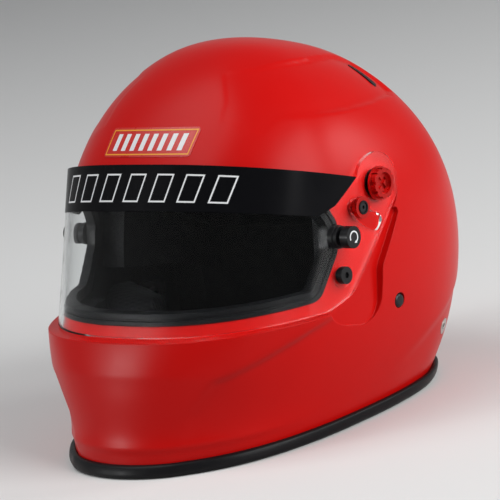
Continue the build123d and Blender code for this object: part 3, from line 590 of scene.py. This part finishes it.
def inside_outline(points, outline):
    """Signed distance in mm from a closed outline in a plane, above zero inside it."""
    start, end = np.array(outline, float), np.roll(np.array(outline, float), -1, 0)
    edge = end - start
    gap = points[..., None, :] - start
    share = np.clip((gap * edge).sum(-1) / (edge ** 2).sum(-1), 0, 1)
    distance = np.linalg.norm(gap - share[..., None] * edge, axis=-1).min(-1)
    level = points[..., None, 1]
    spans = (start[:, 1] > level) != (end[:, 1] > level)
    climb = np.where(np.abs(edge[:, 1]) < 1e-9, 1e-9, edge[:, 1])
    crossing = start[:, 0] + (level - start[:, 1]) / climb * edge[:, 0]
    inside = (spans & (points[..., None, 0] < crossing)).sum(-1) % 2 == 1
    return np.where(inside, distance, -distance)


def modelled(points):
    """How far (mm) the soft forms push the head form out at each worn point.

    Each form is its height times fades, along an axis or across the edge of its outline.
    """
    x, y, z = np.moveaxis(points, -1, 0)
    ahead, down = -y, -z
    side_view, top_view = points[..., 1:], np.stack([np.abs(x), y], -1)
    over_rim = (z + RIM_DROP - RIM_SLOPE * y) * math.cos(TILT)
    lower = fade(down, 60, 90)
    chin = fade(inside_outline(side_view, crease), 0, 7) * fade(ahead, 20, 70) * lower
    chin *= (1 - 0.6 * fade(down, 140, 180)) * (1 - 0.35 * fade(ahead, 105, 130))
    brow = np.exp(-np.maximum(down - BROW_DOWN, 0) / BROW_FADE) * fade(ahead, 80, 120) * lower
    ridge = np.where(over_rim > RIDGE_UP, np.exp((RIDGE_UP - over_rim) / RIDGE_FADE),
                     1 - 0.3 * fade(RIDGE_UP - over_rim, 0, 5))
    flare = ridge * fade(ahead, 35, 105)
    step = fade(-side_of_line(side_view, *step_line), 0, 9) * fade(y, 25, 75) * fade(down, 55, 80)
    channel = fade(inside_outline(top_view, channel_outline), -1.5, 2.1) * (z > 20)
    channel *= 0.16 + 0.84 * fade(y, -62, -2)
    return (CHIN_OUT * chin + BROW_OUT * brow + FLARE_OUT * flare
            - STEP_IN * step - CHANNEL_IN * channel)


def grown(points, push):
    """Moves each point along its normal, the cross product of the grid's two directions."""
    sideways = np.roll(points, -1, 1) - np.roll(points, 1, 1)
    normal = unit(np.cross(sideways, np.gradient(points, axis=0)))
    return points + normal * push[..., None]


def rounded_crown(grid, near=16.0, far=42.0, least_z=40.0):
    """Near the pole the height becomes a quartic in x and y, fitted to the form around it."""
    x, y = np.moveaxis((grid[..., :2] - grid[-1, :, :2].mean(0)) / far, -1, 0)
    z = grid[..., 2]
    terms = np.stack([x ** a * y ** b for a in range(5) for b in range(5 - a)], -1)
    away = np.hypot(x, y) * far
    fitted = (away < 1.5 * far) & (away > near) & (z > least_z)
    heights = terms @ np.linalg.lstsq(terms[fitted], z[fitted], rcond=None)[0]
    keep = np.where(z > least_z, fade(away, near, far), 1.0)
    grid[..., 2] = keep * z + (1 - keep) * heights
    return grid


# %% [markdown]
# ### Cutters
# A cutter is any closed mesh. Boolean cutters take the sharp openings out of the form, and
# a smaller head form, taken out of the first, leaves the wall. Side-view outlines become
# long bars across the helmet. The visor's own curved body protects the bed: the bars lose
# what lies inside it first.

# %% Cutters
CUT_HALF = 210.0
VISOR_HALF, VISOR_REACH, VISOR_BACK, VISOR_WALL = 121.0, 112.0, 10.0, 3.0
VISOR_LEAN, VISOR_LOW, VISOR_HIGH = math.tan(math.radians(9.9)), -240.0, 115.0


def prism(name, loops):
    """A cutter between two matching loops of worn points."""
    return build(name, stand(np.stack(loops)), tube_faces(2, len(loops[0])))


def bar(name, outline, low_x, high_x):
    """A side-view outline carried straight along X between two places."""
    return prism(name, [np.column_stack([np.full(len(outline), x), outline])
                        for x in (low_x, high_x)])


def apply(thing, kind, **settings):
    """Adds a modifier with its settings and applies it."""
    bpy.context.view_layer.objects.active = thing
    modifier = thing.modifiers.new(kind.lower(), kind)
    for key, value in settings.items():
        setattr(modifier, key, value)
    bpy.ops.object.modifier_apply(modifier=modifier.name)


def carve(thing, cutter, how="DIFFERENCE"):
    """Applies a Boolean modifier and throws the cutter away."""
    apply(thing, "BOOLEAN", operation=how, solver="EXACT", object=cutter)
    bpy.data.objects.remove(cutter)
    return thing


def polar(radius, angle):
    """Plane points at a distance and an angle from the middle."""
    return np.stack([radius * np.cos(angle), radius * np.sin(angle)], -1)


def whole_turn(steps):
    """Even angles all the way round."""
    return np.linspace(0, 2 * np.pi, steps, endpoint=False)


def circle(y, z, radius, steps=64):
    """Even points round a circle."""
    return polar(radius, whole_turn(steps)) + (y, z)


def sides(corners):
    """From each corner of a closed outline, unit arrows back and on, and the shorter side."""
    arrows = np.stack([np.roll(corners, shift, 0) - corners for shift in (1, -1)])
    return (*unit(arrows), np.linalg.norm(arrows, axis=2).min(0)[:, None])


def halved(back, on):
    """A corner's bisector and half its angle, from the unit arrows along its sides."""
    return unit(back + on), np.arccos(np.clip((back * on).sum(1), -1, 1))[:, None] / 2


def arcs(shares, steps=9):
    """An outline of corners (y, z, radius), as shares of the form, with circle arcs in mm.

    An arc's tangent run before and after its corner is radius / tan(half the angle).
    """
    y, z, radius = np.array(shares).T
    corners = np.stack([y * SHELL_LENGTH, z * FORM_HEIGHT], -1)
    radius = radius[:, None] * SHELL_LENGTH / 2
    back, on, shorter = sides(corners)
    bisector, half_angle = halved(back, on)
    run = np.minimum(radius / np.tan(half_angle), 0.49 * shorter)
    centre = corners + bisector * run / np.cos(half_angle)
    t = np.linspace(0, 1, steps)[None, :, None]
    first, last = corners + back * run - centre, corners + on * run - centre
    ray = unit((1 - t) * first[:, None] + t * last[:, None])
    curve = centre[:, None] + ray * (run * np.tan(half_angle))[:, None]
    return curve[(radius > 0) | (np.arange(steps) == 0)]


def across_loop(loop):
    """Unit normals of a closed plane loop: the difference of its neighbours, a quarter turned."""
    along = np.roll(loop, -1, 0) - np.roll(loop, 1, 0)
    return unit(np.stack([along[:, 1], -along[:, 0]], -1))


def swollen(outline, by):
    """A closed outline moved out by a distance along its own normals."""
    y, z = outline.T
    turning = np.sign(np.sum(y * np.roll(z, -1) - np.roll(y, -1) * z))
    return outline + across_loop(outline) * by * turning


def visor_line(angle, height, offset_mm):
    """The visor from above, |x/a|^2.5 + |(y - 10)/b|^2.5 = 1, leaning back as it rises."""
    half = VISOR_HALF + offset_mm
    reach = VISOR_REACH + VISOR_BACK + offset_mm - height * VISOR_LEAN
    return half * power(np.cos(angle), 0.8), VISOR_BACK + reach * power(np.sin(angle), 0.8)


def visor_body(offset_mm, back=420.0):
    """The visor's inner face closed far behind: its line at two heights and straight sides."""
    loops = []
    for z in (VISOR_LOW, VISOR_HIGH):
        x, y = visor_line(np.pi + np.linspace(0, np.pi, 121), z, offset_mm)
        x, y = np.append(x, [x[-1], x[0]]), np.append(y, [back, back])
        loops.append(np.column_stack([x, y, np.full(len(x), z)]))
    return prism("visor_body", loops)


visor_side = arcs([(-0.553, 0.0740, 0.0), (-0.062, 0.0140, 0.0), (0.0, 0.0, 0.0),
                   (0.0580, -0.0388, 0.0), (-0.088, -0.2290, 0.10), (-0.156, -0.2620, 0.08),
                   (-0.553, -0.3330, 0.0)])
scoop_side = arcs([(0.088, -0.0360, 0.02), (0.0050, -0.1750, 0.09), (0.0060, -0.2980, 0.14),
                   (-0.125, -0.2950, 0.20), (-0.170, -0.2650, 0.0), (-0.065, -0.1200, 0.0)])
port_side = arcs([(-0.553, 0.0300, 0.0), (-0.163, -0.0225, 0.08), (-0.120, -0.0790, 0.10),
                  (-0.122, -0.1400, 0.10), (-0.173, -0.2400, 0.09), (-0.553, -0.3130, 0.0)])
print("side outlines:", len(visor_side), len(scoop_side), len(port_side), "points")

# %% [markdown]
# ### The wall and its openings
# The visor's bed sinks into both the outer and the inner form, so the wall keeps its
# thickness there. Paint and laminate are given before the inner form is taken out: each
# cut face keeps the finish of the form that it came from. The eyeport and the level lower
# edge follow.

# %% Make the shell
WALL, BED_GAP, EAR_RADIUS = 4.5, 1.6, 24.5


def bed_cutter(depth):
    """Three bars joined into one, without what the visor's body protects.

    Their ends are a millimetre apart, so that no two of them share a plane.
    """
    bed = bar("bed", swollen(visor_side, BED_GAP + depth), -CUT_HALF, CUT_HALF)
    ear = bar("ear", circle(0, 0, EAR_RADIUS + depth), -CUT_HALF - 1, CUT_HALF + 1)
    scoop = bar("scoop", swollen(scoop_side, depth + 0.01), -CUT_HALF - 2, CUT_HALF + 2)
    carve(bed, ear, "UNION")
    carve(bed, scoop, "UNION")
    return carve(bed, visor_body(-1.0 - depth))


def closed_form(rows_up, columns, inset, push):
    """Head form as a closed mesh from below the rim to the crown."""
    grid = head_form(np.arange(columns) / columns, np.linspace(0.02, 1, rows_up), inset)
    grid = rounded_crown(grid)
    if push:
        grid = grown(grid, modelled(grid))
    grid[-1] = grid[-1].mean(0)
    return build("form", stand(grid), cup_faces(rows_up, columns))


fine = 1
shell = closed_form(int(210 * fine), int(330 * fine), 0.0, True)
carve(shell, bed_cutter(0.0))
inner = carve(closed_form(80, 120, WALL, False), bed_cutter(WALL))
for mesh in (shell.data, inner.data):
    mesh.materials.append(red_paint)
    mesh.materials.append(laminate)
inner.data.polygons.foreach_set("material_index", np.ones(len(inner.data.polygons), int))
carve(shell, inner)
carve(shell, bar("port", port_side, -CUT_HALF, CUT_HALF))
far_y, edge_up, far_down = 300, 3.07, -400
below_rim = [(y, RIM_SLOPE * y - RIM_DROP + edge_up) for y in (-far_y, far_y)]
below_rim += [(far_y, far_down), (-far_y, far_down)]
carve(shell, bar("below_rim", np.array(below_rim), -CUT_HALF, CUT_HALF))
print("wall with bed, port and edge:", len(shell.data.polygons), "faces")

# %% [markdown]
# ### Vents, seats and anchors
# A slot with round ends opens each crown channel. The pivot screw, the guide post and the
# strap bolt sit in round seats with flat floors, two of them with a hole right through.
# The anchor's hole follows the axis that the record gives for its mount.

# %% Cut the slots and holes
SLOT_RUN, SLOT_RADIUS, SLOT_TURN, SLOT_PLACE = 7.5, 3.0, math.radians(17.0), (69.5, 53.0)
ANCHOR_RADIUS, ANCHOR_DEPTHS = 0.00605, (-0.012, 0.03)
VENT_LOW, VENT_HIGH, FAR_OUT, HOLE_END = 30.0, 140.0, 160.0, 100.0
slot_end = polar(SLOT_RADIUS, np.linspace(-np.pi / 2, np.pi / 2, 12)) + (SLOT_RUN, 0)
slot_turned = np.array([polar(1, SLOT_TURN), polar(1, SLOT_TURN + np.pi / 2)])
slot = np.concatenate([slot_end, -slot_end]) @ slot_turned + SLOT_PLACE
post_y, post_z = polar(26.5, math.radians(217.3))
bolt_y, bolt_z = 22.0, -83.0
# Columns: y, z, radius and the X of the seat's floor or the hole's inner end (all mm).
seats = [(0, 0, 10.3, 119.0), (post_y, post_z, 6.3, 117.4), (bolt_y, bolt_z, 5.55, 121.2)]
holes = [(0, 0, 6.0, HOLE_END), (bolt_y, bolt_z, 2.55, HOLE_END)]
mount = next(m for m in frame["record"]["mounts"] if m["name"] == "left_anchor")
for sign in (1, -1):
    flat = slot * (sign, 1)
    carve(shell, prism("vent", [np.column_stack([flat, np.full(len(flat), z)])
                                for z in (VENT_LOW, VENT_HIGH)]))
for sign in (1, -1):
    for y, z, radius, floor_x in seats:
        carve(shell, bar("seat", circle(y, z, radius), sign * floor_x, sign * FAR_OUT))
    for y, z, radius, floor_x in holes:
        carve(shell, bar("hole", circle(y, z, radius, 32), sign * floor_x, sign * FAR_OUT))
for sign in (1, -1):
    axis, centre = np.array([mount["axis"], mount["pos_m"]]) * (sign, 1, 1)
    aside = unit(np.cross(axis, (0, 0, 1.0)))
    ring = circle(0, 0, ANCHOR_RADIUS, 40) @ np.array([aside, np.cross(axis, aside)])
    carve(shell, prism("anchor", wear([centre + ring + axis * depth for depth in ANCHOR_DEPTHS])))
shell.name = shell.data.name = "painted_shell"
smooth(shell.data, 32)
belong(shell, "helmet", "shell_red", "outer_shell")
print("painted shell:", len(shell.data.polygons), "faces")

# %% [markdown]
# ## The rim moulding
# A soft black moulding grips the shell's lower edge like a U. Its foot bulges outwards,
# which is the black line under the painted shell. The shape is one small profile carried
# around the rim: each profile point has a height above the shelf and a distance out from
# the head form, and the outline at that height comes from the head form itself. Outside,
# it also follows the shell's soft forms.

# %% Sweep the rim moulding
RIM_POINTS, CORNER_RADIUS = 240, 1.0


def level_outline(height_mm, places):
    """Where the head form meets a level plane on the shelf: the crossing on each column."""
    shelf = stand(head_form(places, np.linspace(0.0, 0.6, 240)))
    over = (shelf[..., 2] * 1000 > height_mm).argmax(0)
    column = np.arange(len(places))
    low, high = shelf[over - 1, column], shelf[over, column]
    part = (height_mm / 1000 - low[:, 2]) / (high[:, 2] - low[:, 2])
    return low + (high - low) * part[:, None]


def rounded(profile, radius, steps=4):
    """Replaces each corner by a quadratic curve that starts radius before it."""
    corners = np.array(profile, float)
    back, on, shorter = sides(corners)
    run = np.minimum(radius, shorter * 0.48)
    start, end = corners + back * run, corners + on * run
    t = np.linspace(0, 1, steps)[None, :, None]
    bend = 2 * t * (1 - t) * corners[:, None]
    return ((1 - t) ** 2 * start[:, None] + bend + t ** 2 * end[:, None]).reshape(-1, 2)


rim_profile = rounded([
    (-6.9, 0.5), (3.4, 0.0), (5.6, 1.2), (5.9, 3.2), (5.2, 6.2), (4.2, 8.4), (2.6, 9.2),
    (0.12, 9.2), (0.12, 2.85), (-4.62, 2.85), (-4.62, 12.5), (-5.8, 12.5), (-6.9, 11.3)],
    CORNER_RADIUS)
loops = []
for reach, height in rim_profile:
    loop = level_outline(max(height, 0.02), np.arange(RIM_POINTS) / RIM_POINTS)
    flared = reach + (modelled(wear(loop))[:, None] if reach > 0 else 0)
    loop[:, :2] += across_loop(loop[:, :2]) * flared / 1000
    loops.append(loop)
piece("rim_moulding", loops, grid_faces(len(loops), RIM_POINTS, True, True), "helmet",
      rubber, "rubber_black", ["rim_trim"], sharp=60)

# %% [markdown]
# ## Pads
# Foam pads in cloth line the helmet. A cloth simulation makes them look stuffed: a slightly
# smaller copy of each CAD pad is remeshed evenly, then blown up by a light pressure with
# gravity off. A cap on how far any point may move keeps the pad within its space. One
# subdivision smooths the result.

# %% Stuff a pad
def points_of(mesh, what="co"):
    """A mesh's points, or their normals, as rows of three numbers."""
    numbers = np.zeros(3 * len(mesh.vertices))
    mesh.vertices.foreach_get(what, numbers)
    return numbers.reshape(-1, 3)


def set_points(mesh, points):
    """Writes rows of three numbers back to the mesh's points."""
    mesh.vertices.foreach_set("co", points.ravel())
    mesh.update()


def blown_up(thing, start, cap_mm):
    """Cloth under pressure for 20 frames, each point held to cap_mm from its start."""
    cloth = thing.modifiers.new("stuffing", "CLOTH")
    cloth.settings.use_pressure = True
    cloth.settings.uniform_pressure_force = 4.0
    cloth.settings.effector_weights.gravity = 0.0
    cloth.settings.quality = 5
    for number in range(1, 21):
        bpy.context.scene.frame_set(number)
    bpy.context.view_layer.update()
    blown = thing.evaluated_get(bpy.context.evaluated_depsgraph_get())
    move = points_of(blown.data) - start
    thing.modifiers.remove(cloth)
    length = np.linalg.norm(move, axis=1)[:, None] + 1e-12
    return start + move * np.minimum(1, cap_mm / 1000 / length)


def stuffed(name, node, voxel_mm, shrink_mm, cap_mm):
    """Copy, merge, remesh, shrink along the normals, inflate, cap and subdivide."""
    mesh = nodes[node].data.copy()
    mesh.name = name
    merge(mesh, face_out=False)
    mesh.materials.clear()
    mesh.materials.append(knit)
    thing = add_object(name, mesh)
    apply(thing, "REMESH", mode="VOXEL", voxel_size=voxel_mm / 1000)
    apply(thing, "SMOOTH", iterations=6, factor=0.5)
    start = points_of(thing.data) - points_of(thing.data, "normal") * shrink_mm / 1000
    set_points(thing.data, start)
    set_points(thing.data, blown_up(thing, start, cap_mm))
    apply(thing, "SUBSURF", levels=1, render_levels=1)
    thing.data.shade_smooth()
    belong(thing, "helmet", "lining", node)
    print(name, len(thing.data.vertices), "points")


# Columns: piece, CAD node, then voxel, shrink and cap in mm.
for pad in (("left_cheek_cushion", "left_cheek_pad", 4.0, 1.6, 3.0),
            ("right_cheek_cushion", "right_cheek_pad", 4.0, 1.6, 3.0),
            ("crown_cushion", "crown_pad", 5.0, 1.5, 2.2),
            ("neck_cushion", "neck_roll", 4.0, 1.2, 2.4),
            ("strap_cushion", "chin_strap_pad", 2.2, 0.4, 0.8)):
    stuffed(*pad)
bpy.context.scene.frame_set(1)

# %% [markdown]
# ## The chin strap
# Webbing is a flat ribbon with a rounded edge. Its middle line is a few straight runs
# joined by bends, and a small flat profile follows it. A UV map measures metres along and
# across the ribbon, so the weave follows every bend.

# %% Carry a flat profile along a line
STRAP_LEVEL, STRAP_WIDTH, BEND_RUN, LOOP_RADIUS = 9.5, 24.0, 5.5, 3.8


def bent_line(corners, steps=8):
    """Straight runs joined by quadratic bends that start BEND_RUN before each inner corner."""
    corners = np.array(corners, float)
    points = [corners[:1]]
    t = np.linspace(0, 1, steps)[:, None]
    for back, here, on in zip(corners, corners[1:], corners[2:]):
        start, end = here + unit(np.array([back - here, on - here])) * BEND_RUN
        points.append((1 - t) ** 2 * start + 2 * t * (1 - t) * here + t ** 2 * end)
    return np.vstack([*points, corners[-1:]])


def webbing(name, line, wall, stands_for):
    """Profile point (a, b) goes a across the helmet's length and b along the line's normal."""
    gaps = np.linalg.norm(np.diff(line, axis=0), axis=1)
    travel = np.concatenate([[0], np.cumsum(gaps)])
    even = np.append(np.arange(0, travel[-1], 1.5), travel[-1])
    line = np.stack([np.interp(even, travel, line[:, k]) for k in (0, 1)], -1)
    along = unit(np.gradient(line, axis=0))
    angle = whole_turn(28)
    a = STRAP_WIDTH / 2 * power(np.cos(angle), 0.25)
    b = wall / 2 * power(np.sin(angle), 0.5)
    x, z = line.T[..., None] + np.stack([-along[:, 1], along[:, 0]])[..., None] * b
    rows = np.stack([x, strap_y + a + 0 * x, z], -1) / 1000
    thing = piece(name, rows, tube_faces(len(line), len(angle)), "helmet", weave, "webbing",
                  [stands_for], sharp=60)
    points = points_of(thing.data)
    near = ((points[:, None, [0, 2]] * 1000 - line[None]) ** 2).sum(2).argmin(1)
    corner = np.zeros(len(thing.data.loops), int)
    thing.data.loops.foreach_get("vertex_index", corner)
    place = np.stack([even[near] / 1000, points[:, 1]], -1)
    thing.data.uv_layers.new(name="strap").data.foreach_set("uv", place[corner].ravel())


strap_low, strap_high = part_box("long_chin_strap")
strap_y = (strap_low.y + strap_high.y) * 500
side_run = np.array([(strap_high.x * 1000 - 0.78, strap_high.z * 1000 - 0.3),
                     (98.4, 34.0), (78.4, STRAP_LEVEL)])
webbing("long_webbing", bent_line([*side_run, (-26.0, STRAP_LEVEL)]), 1.6, "long_chin_strap")
short_line = bent_line([*(side_run * (-1, 1)), (-70.2, STRAP_LEVEL)])
loop_line = polar(LOOP_RADIUS, np.linspace(np.pi, -0.9 * np.pi, 40)) + (-66.0, STRAP_LEVEL)
webbing("short_webbing", np.vstack([short_line[:-1], loop_line]), 1.4, "short_chin_strap")

# %% [markdown]
# ## Printed shapes
# The sun strip carries a row of slanted blocks drawn in outline, and the forehead panel a
# thin outline with eight slanted bars. They mean nothing: they only give the print its
# usual scale. Each shape is drawn flat and then wrapped onto the surface it lies on.

# %% Wrap flat drawings on the visor and the shell
STRIP_TALL, STRIP_FACE, PANEL_FACE, INK_WALL = 31.0, 0.45, 0.42, 0.12


def visor_face(side, height, offset_mm):
    """A worn point on the visor's outer face: side is the distance round the front in mm."""
    angle = np.linspace(1.5 * np.pi - 1.2, 1.5 * np.pi + 1.2, 400)
    x, y = visor_line(angle, 0.0, VISOR_WALL + offset_mm)
    travel = np.cumsum(np.hypot(np.gradient(x), np.gradient(y)))
    travel -= np.interp(1.5 * np.pi, angle, travel)
    x, y = visor_line(np.interp(side, travel, angle), height, VISOR_WALL + offset_mm)
    return np.stack([x, y, height + 0 * side], -1)


def on_strip(flat, high):
    """Flat millimetres onto the strip, whose two edges fall towards the sides."""
    side, share = flat[:, 0], flat[:, 1] / STRIP_TALL
    depth = visor_face(side, 0 * side, 0)[..., 1]
    lower = -10.5 - 0.0913 * (depth + 170)
    upper = 4.6 - 0.1305 * (depth + 19)
    return stand(visor_face(side, lower + share * (upper - lower), STRIP_FACE + high))


def on_forehead(flat, high):
    """Flat (x, z) onto the head form's front: between two rows, then between two columns."""
    surface = head_form(np.linspace(0.55, 0.95, 120), np.linspace(0.55, 0.98, 120),
                        -(PANEL_FACE + high))
    heights = surface[..., 2].mean(1)
    low = np.searchsorted(heights, flat[:, 1]) - 1
    share = (flat[:, 1] - heights[low]) / (heights[low + 1] - heights[low])
    rows = surface[low] + (surface[low + 1] - surface[low]) * share[:, None, None]
    column, point = (rows[..., 0] < flat[:, :1]).sum(1) - 1, np.arange(len(flat))
    before, after = rows[point, column], rows[point, column + 1]
    share = (flat[:, 0] - before[:, 0]) / (after[:, 0] - before[:, 0])
    y = before[:, 1] + (after[:, 1] - before[:, 1]) * share
    return stand(np.stack([flat[:, 0], y, flat[:, 1]], -1))


def leaning(centre, half_width, slant, low, high):
    """Corners of a block whose upper side sits twice the slant beyond its lower one."""
    return [(centre - half_width - slant, low), (centre + half_width - slant, low),
            (centre + half_width + slant, high), (centre - half_width + slant, high)]


def frame_strip(corners, width, steps=14):
    """An outline of even width inside a polygon: each corner moves in along its bisector."""
    corners = np.array(corners, float)
    bisector, half_angle = halved(*sides(corners)[:2])
    t = np.arange(steps)[None, :, None] / steps
    return [(loop[:, None] * (1 - t) + np.roll(loop, -1, 0)[:, None] * t).reshape(-1, 2)
            for loop in (corners, corners + bisector * width / np.sin(half_angle))]


def wrapped_outline(name, shapes, width, onto, body, made, slot):
    """Outlines as thin closed strips: an outer and an inner loop, each on two offsets."""
    verts, faces = [], []
    for corners in shapes:
        outer, inner = frame_strip(corners, width)
        loops = [onto(loop, high) for loop, high in (
            (outer, 0.0), (outer, INK_WALL), (inner, INK_WALL), (inner, 0.0))]
        faces.append(grid_faces(4, len(outer), True, True) + 4 * len(outer) * len(verts))
        verts.append(np.vstack(loops))
    piece(name, np.vstack(verts), np.vstack(faces), body, made, slot, sharp=50)


blocks = [leaning(24.0 * k, 7.2, 3.2, 0.2 * STRIP_TALL, 0.8 * STRIP_TALL) for k in range(-3, 4)]
wrapped_outline("strip_blocks", blocks, 1.1, on_strip, "visor", white_ink, "strip_black")
wrapped_outline("panel_outline", [leaning(0.0, 39.3, 1.5, 23.2, 40.8)], 0.9, on_forehead,
                "helmet", amber_ink, "decal_dark")
bars = [leaning(x, 2.1, 1.2, 26.2, 37.8) for x in np.linspace(-30.5, 30.5, 8)]
wrapped_outline("panel_bars", bars, 2.05, on_forehead, "helmet", white_ink, "decal_dark")

# %% [markdown]
# ## Tear-off post marks
# The outer face of each tear-off post shows which way it turns: an arc with an arrow head.
# The arc is a ring cut open, and the head is a small triangle on its end.

# %% Turn marks
ARC_RADII, HEAD_RADII, HEAD_LEAD = (3.5, 4.5), (2.9, 5.2, 4.0), (0.0, 0.0, 0.55)
MARK_LIFT, MARK_WALL = 0.02, 0.15
sweep = np.radians(np.linspace(-60, 200, 48))
inner_arc, outer_arc = (polar(radius, sweep) for radius in ARC_RADII)
head = polar(np.array(HEAD_RADII), sweep[0] - np.array(HEAD_LEAD))
# Each loop of the drawing, and 1 where it lies on the mark's top.
drawing = ((inner_arc, 0), (inner_arc, 1), (outer_arc, 1), (outer_arc, 0), (head, 0), (head, 1))
n = len(sweep)
faces = grid_faces(4, n, True, False).tolist()
faces += [[0, n, 2 * n, 3 * n], [n - 1, 2 * n - 1, 3 * n - 1, 4 * n - 1]]
faces += [[4 * n + corner for corner in face] for face in tube_faces(2, len(head))]
for side, sign in (("left", 1), ("right", -1)):
    low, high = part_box(side + "_tearoff_cam")
    face_x = (high.x if sign > 0 else low.x) * 1000 + sign * MARK_LIFT
    centre = (low.y + high.y) * 500, (low.z + high.z) * 500
    verts = [np.column_stack([np.full(len(flat), face_x + sign * MARK_WALL * top), flat + centre])
             for flat, top in drawing]
    piece(side + "_turn_mark", np.vstack(verts) / 1000, faces, side + "_tearoff_cam",
          white_ink, "plastic_black")

# %% [markdown]
# ## The studio
# A plain pale floor curves up into a wall all round, so every side has a calm ground. One
# large soft lamp hangs over the front and another stands at the wearer's left. A smaller
# one behind draws the rear edge, and a low narrow one draws the chin. The satin paint then
# shows wide, calm highlights. The world adds an even fill. The floor is darker for light
# that bounces, so that it doesn't wash out the shell's creases from below.

# %% Floor, backdrop and lamps
FLOOR_RADIUS, BEND_RADIUS, WALL_TOP = 3.4, 0.9, 3.4
floor_paint = finish("studio_floor", (0.78, 0.78, 0.77), 0.9)
other_for(floor_paint, "Is Diffuse Ray",
          add(floor_paint, "ShaderNodeBsdfDiffuse", Color=(0.36, 0.36, 0.36, 1.0)))
bend = np.linspace(0, np.pi / 2, 16)[1:]
outwards = np.concatenate([np.linspace(0.02, FLOOR_RADIUS, 24),
                           FLOOR_RADIUS + BEND_RADIUS * np.sin(bend),
                           np.full(6, FLOOR_RADIUS + BEND_RADIUS)])[:, None]
upwards = np.concatenate([np.zeros(24), BEND_RADIUS - BEND_RADIUS * np.cos(bend),
                          np.linspace(1.0, WALL_TOP, 6)])[:, None]
compass = whole_turn(96)
bowl = np.dstack([polar(outwards, compass), upwards + 0 * compass])
studio = build("studio", bowl, cup_faces(*bowl.shape[:2]))
studio.data.shade_smooth()
studio.data.materials.append(floor_paint)


def lamp(name, place, size, watts):
    """A square area lamp aimed at the middle of the helmet."""
    data = bpy.data.lights.new(name, "AREA")
    data.size, data.energy = size, watts
    thing = add_object(name, data)
    thing.location = place
    aim = Vector((0, 0, 0.14)) - Vector(place)
    thing.rotation_euler = aim.to_track_quat("-Z", "Y").to_euler()


lamp("key", (-0.9, -1.1, 2.9), 2.2, 38)
lamp("side", (2.6, 0.1, 1.5), 2.0, 72)
lamp("rear", (2.0, 2.0, 1.2), 1.0, 22)
lamp("low", (-1.5, -2.1, 0.6), 0.45, 15)
world = bpy.data.worlds.new("studio_world")
world.use_nodes = True
sky = world.node_tree.nodes["Background"].inputs
sky["Color"].default_value, sky["Strength"].default_value = (0.9, 0.93, 1.0, 1), 0.20
bpy.context.scene.world = world
bpy.context.scene.view_settings.view_transform = "Standard"
print("lamps:", len(bpy.data.lights))
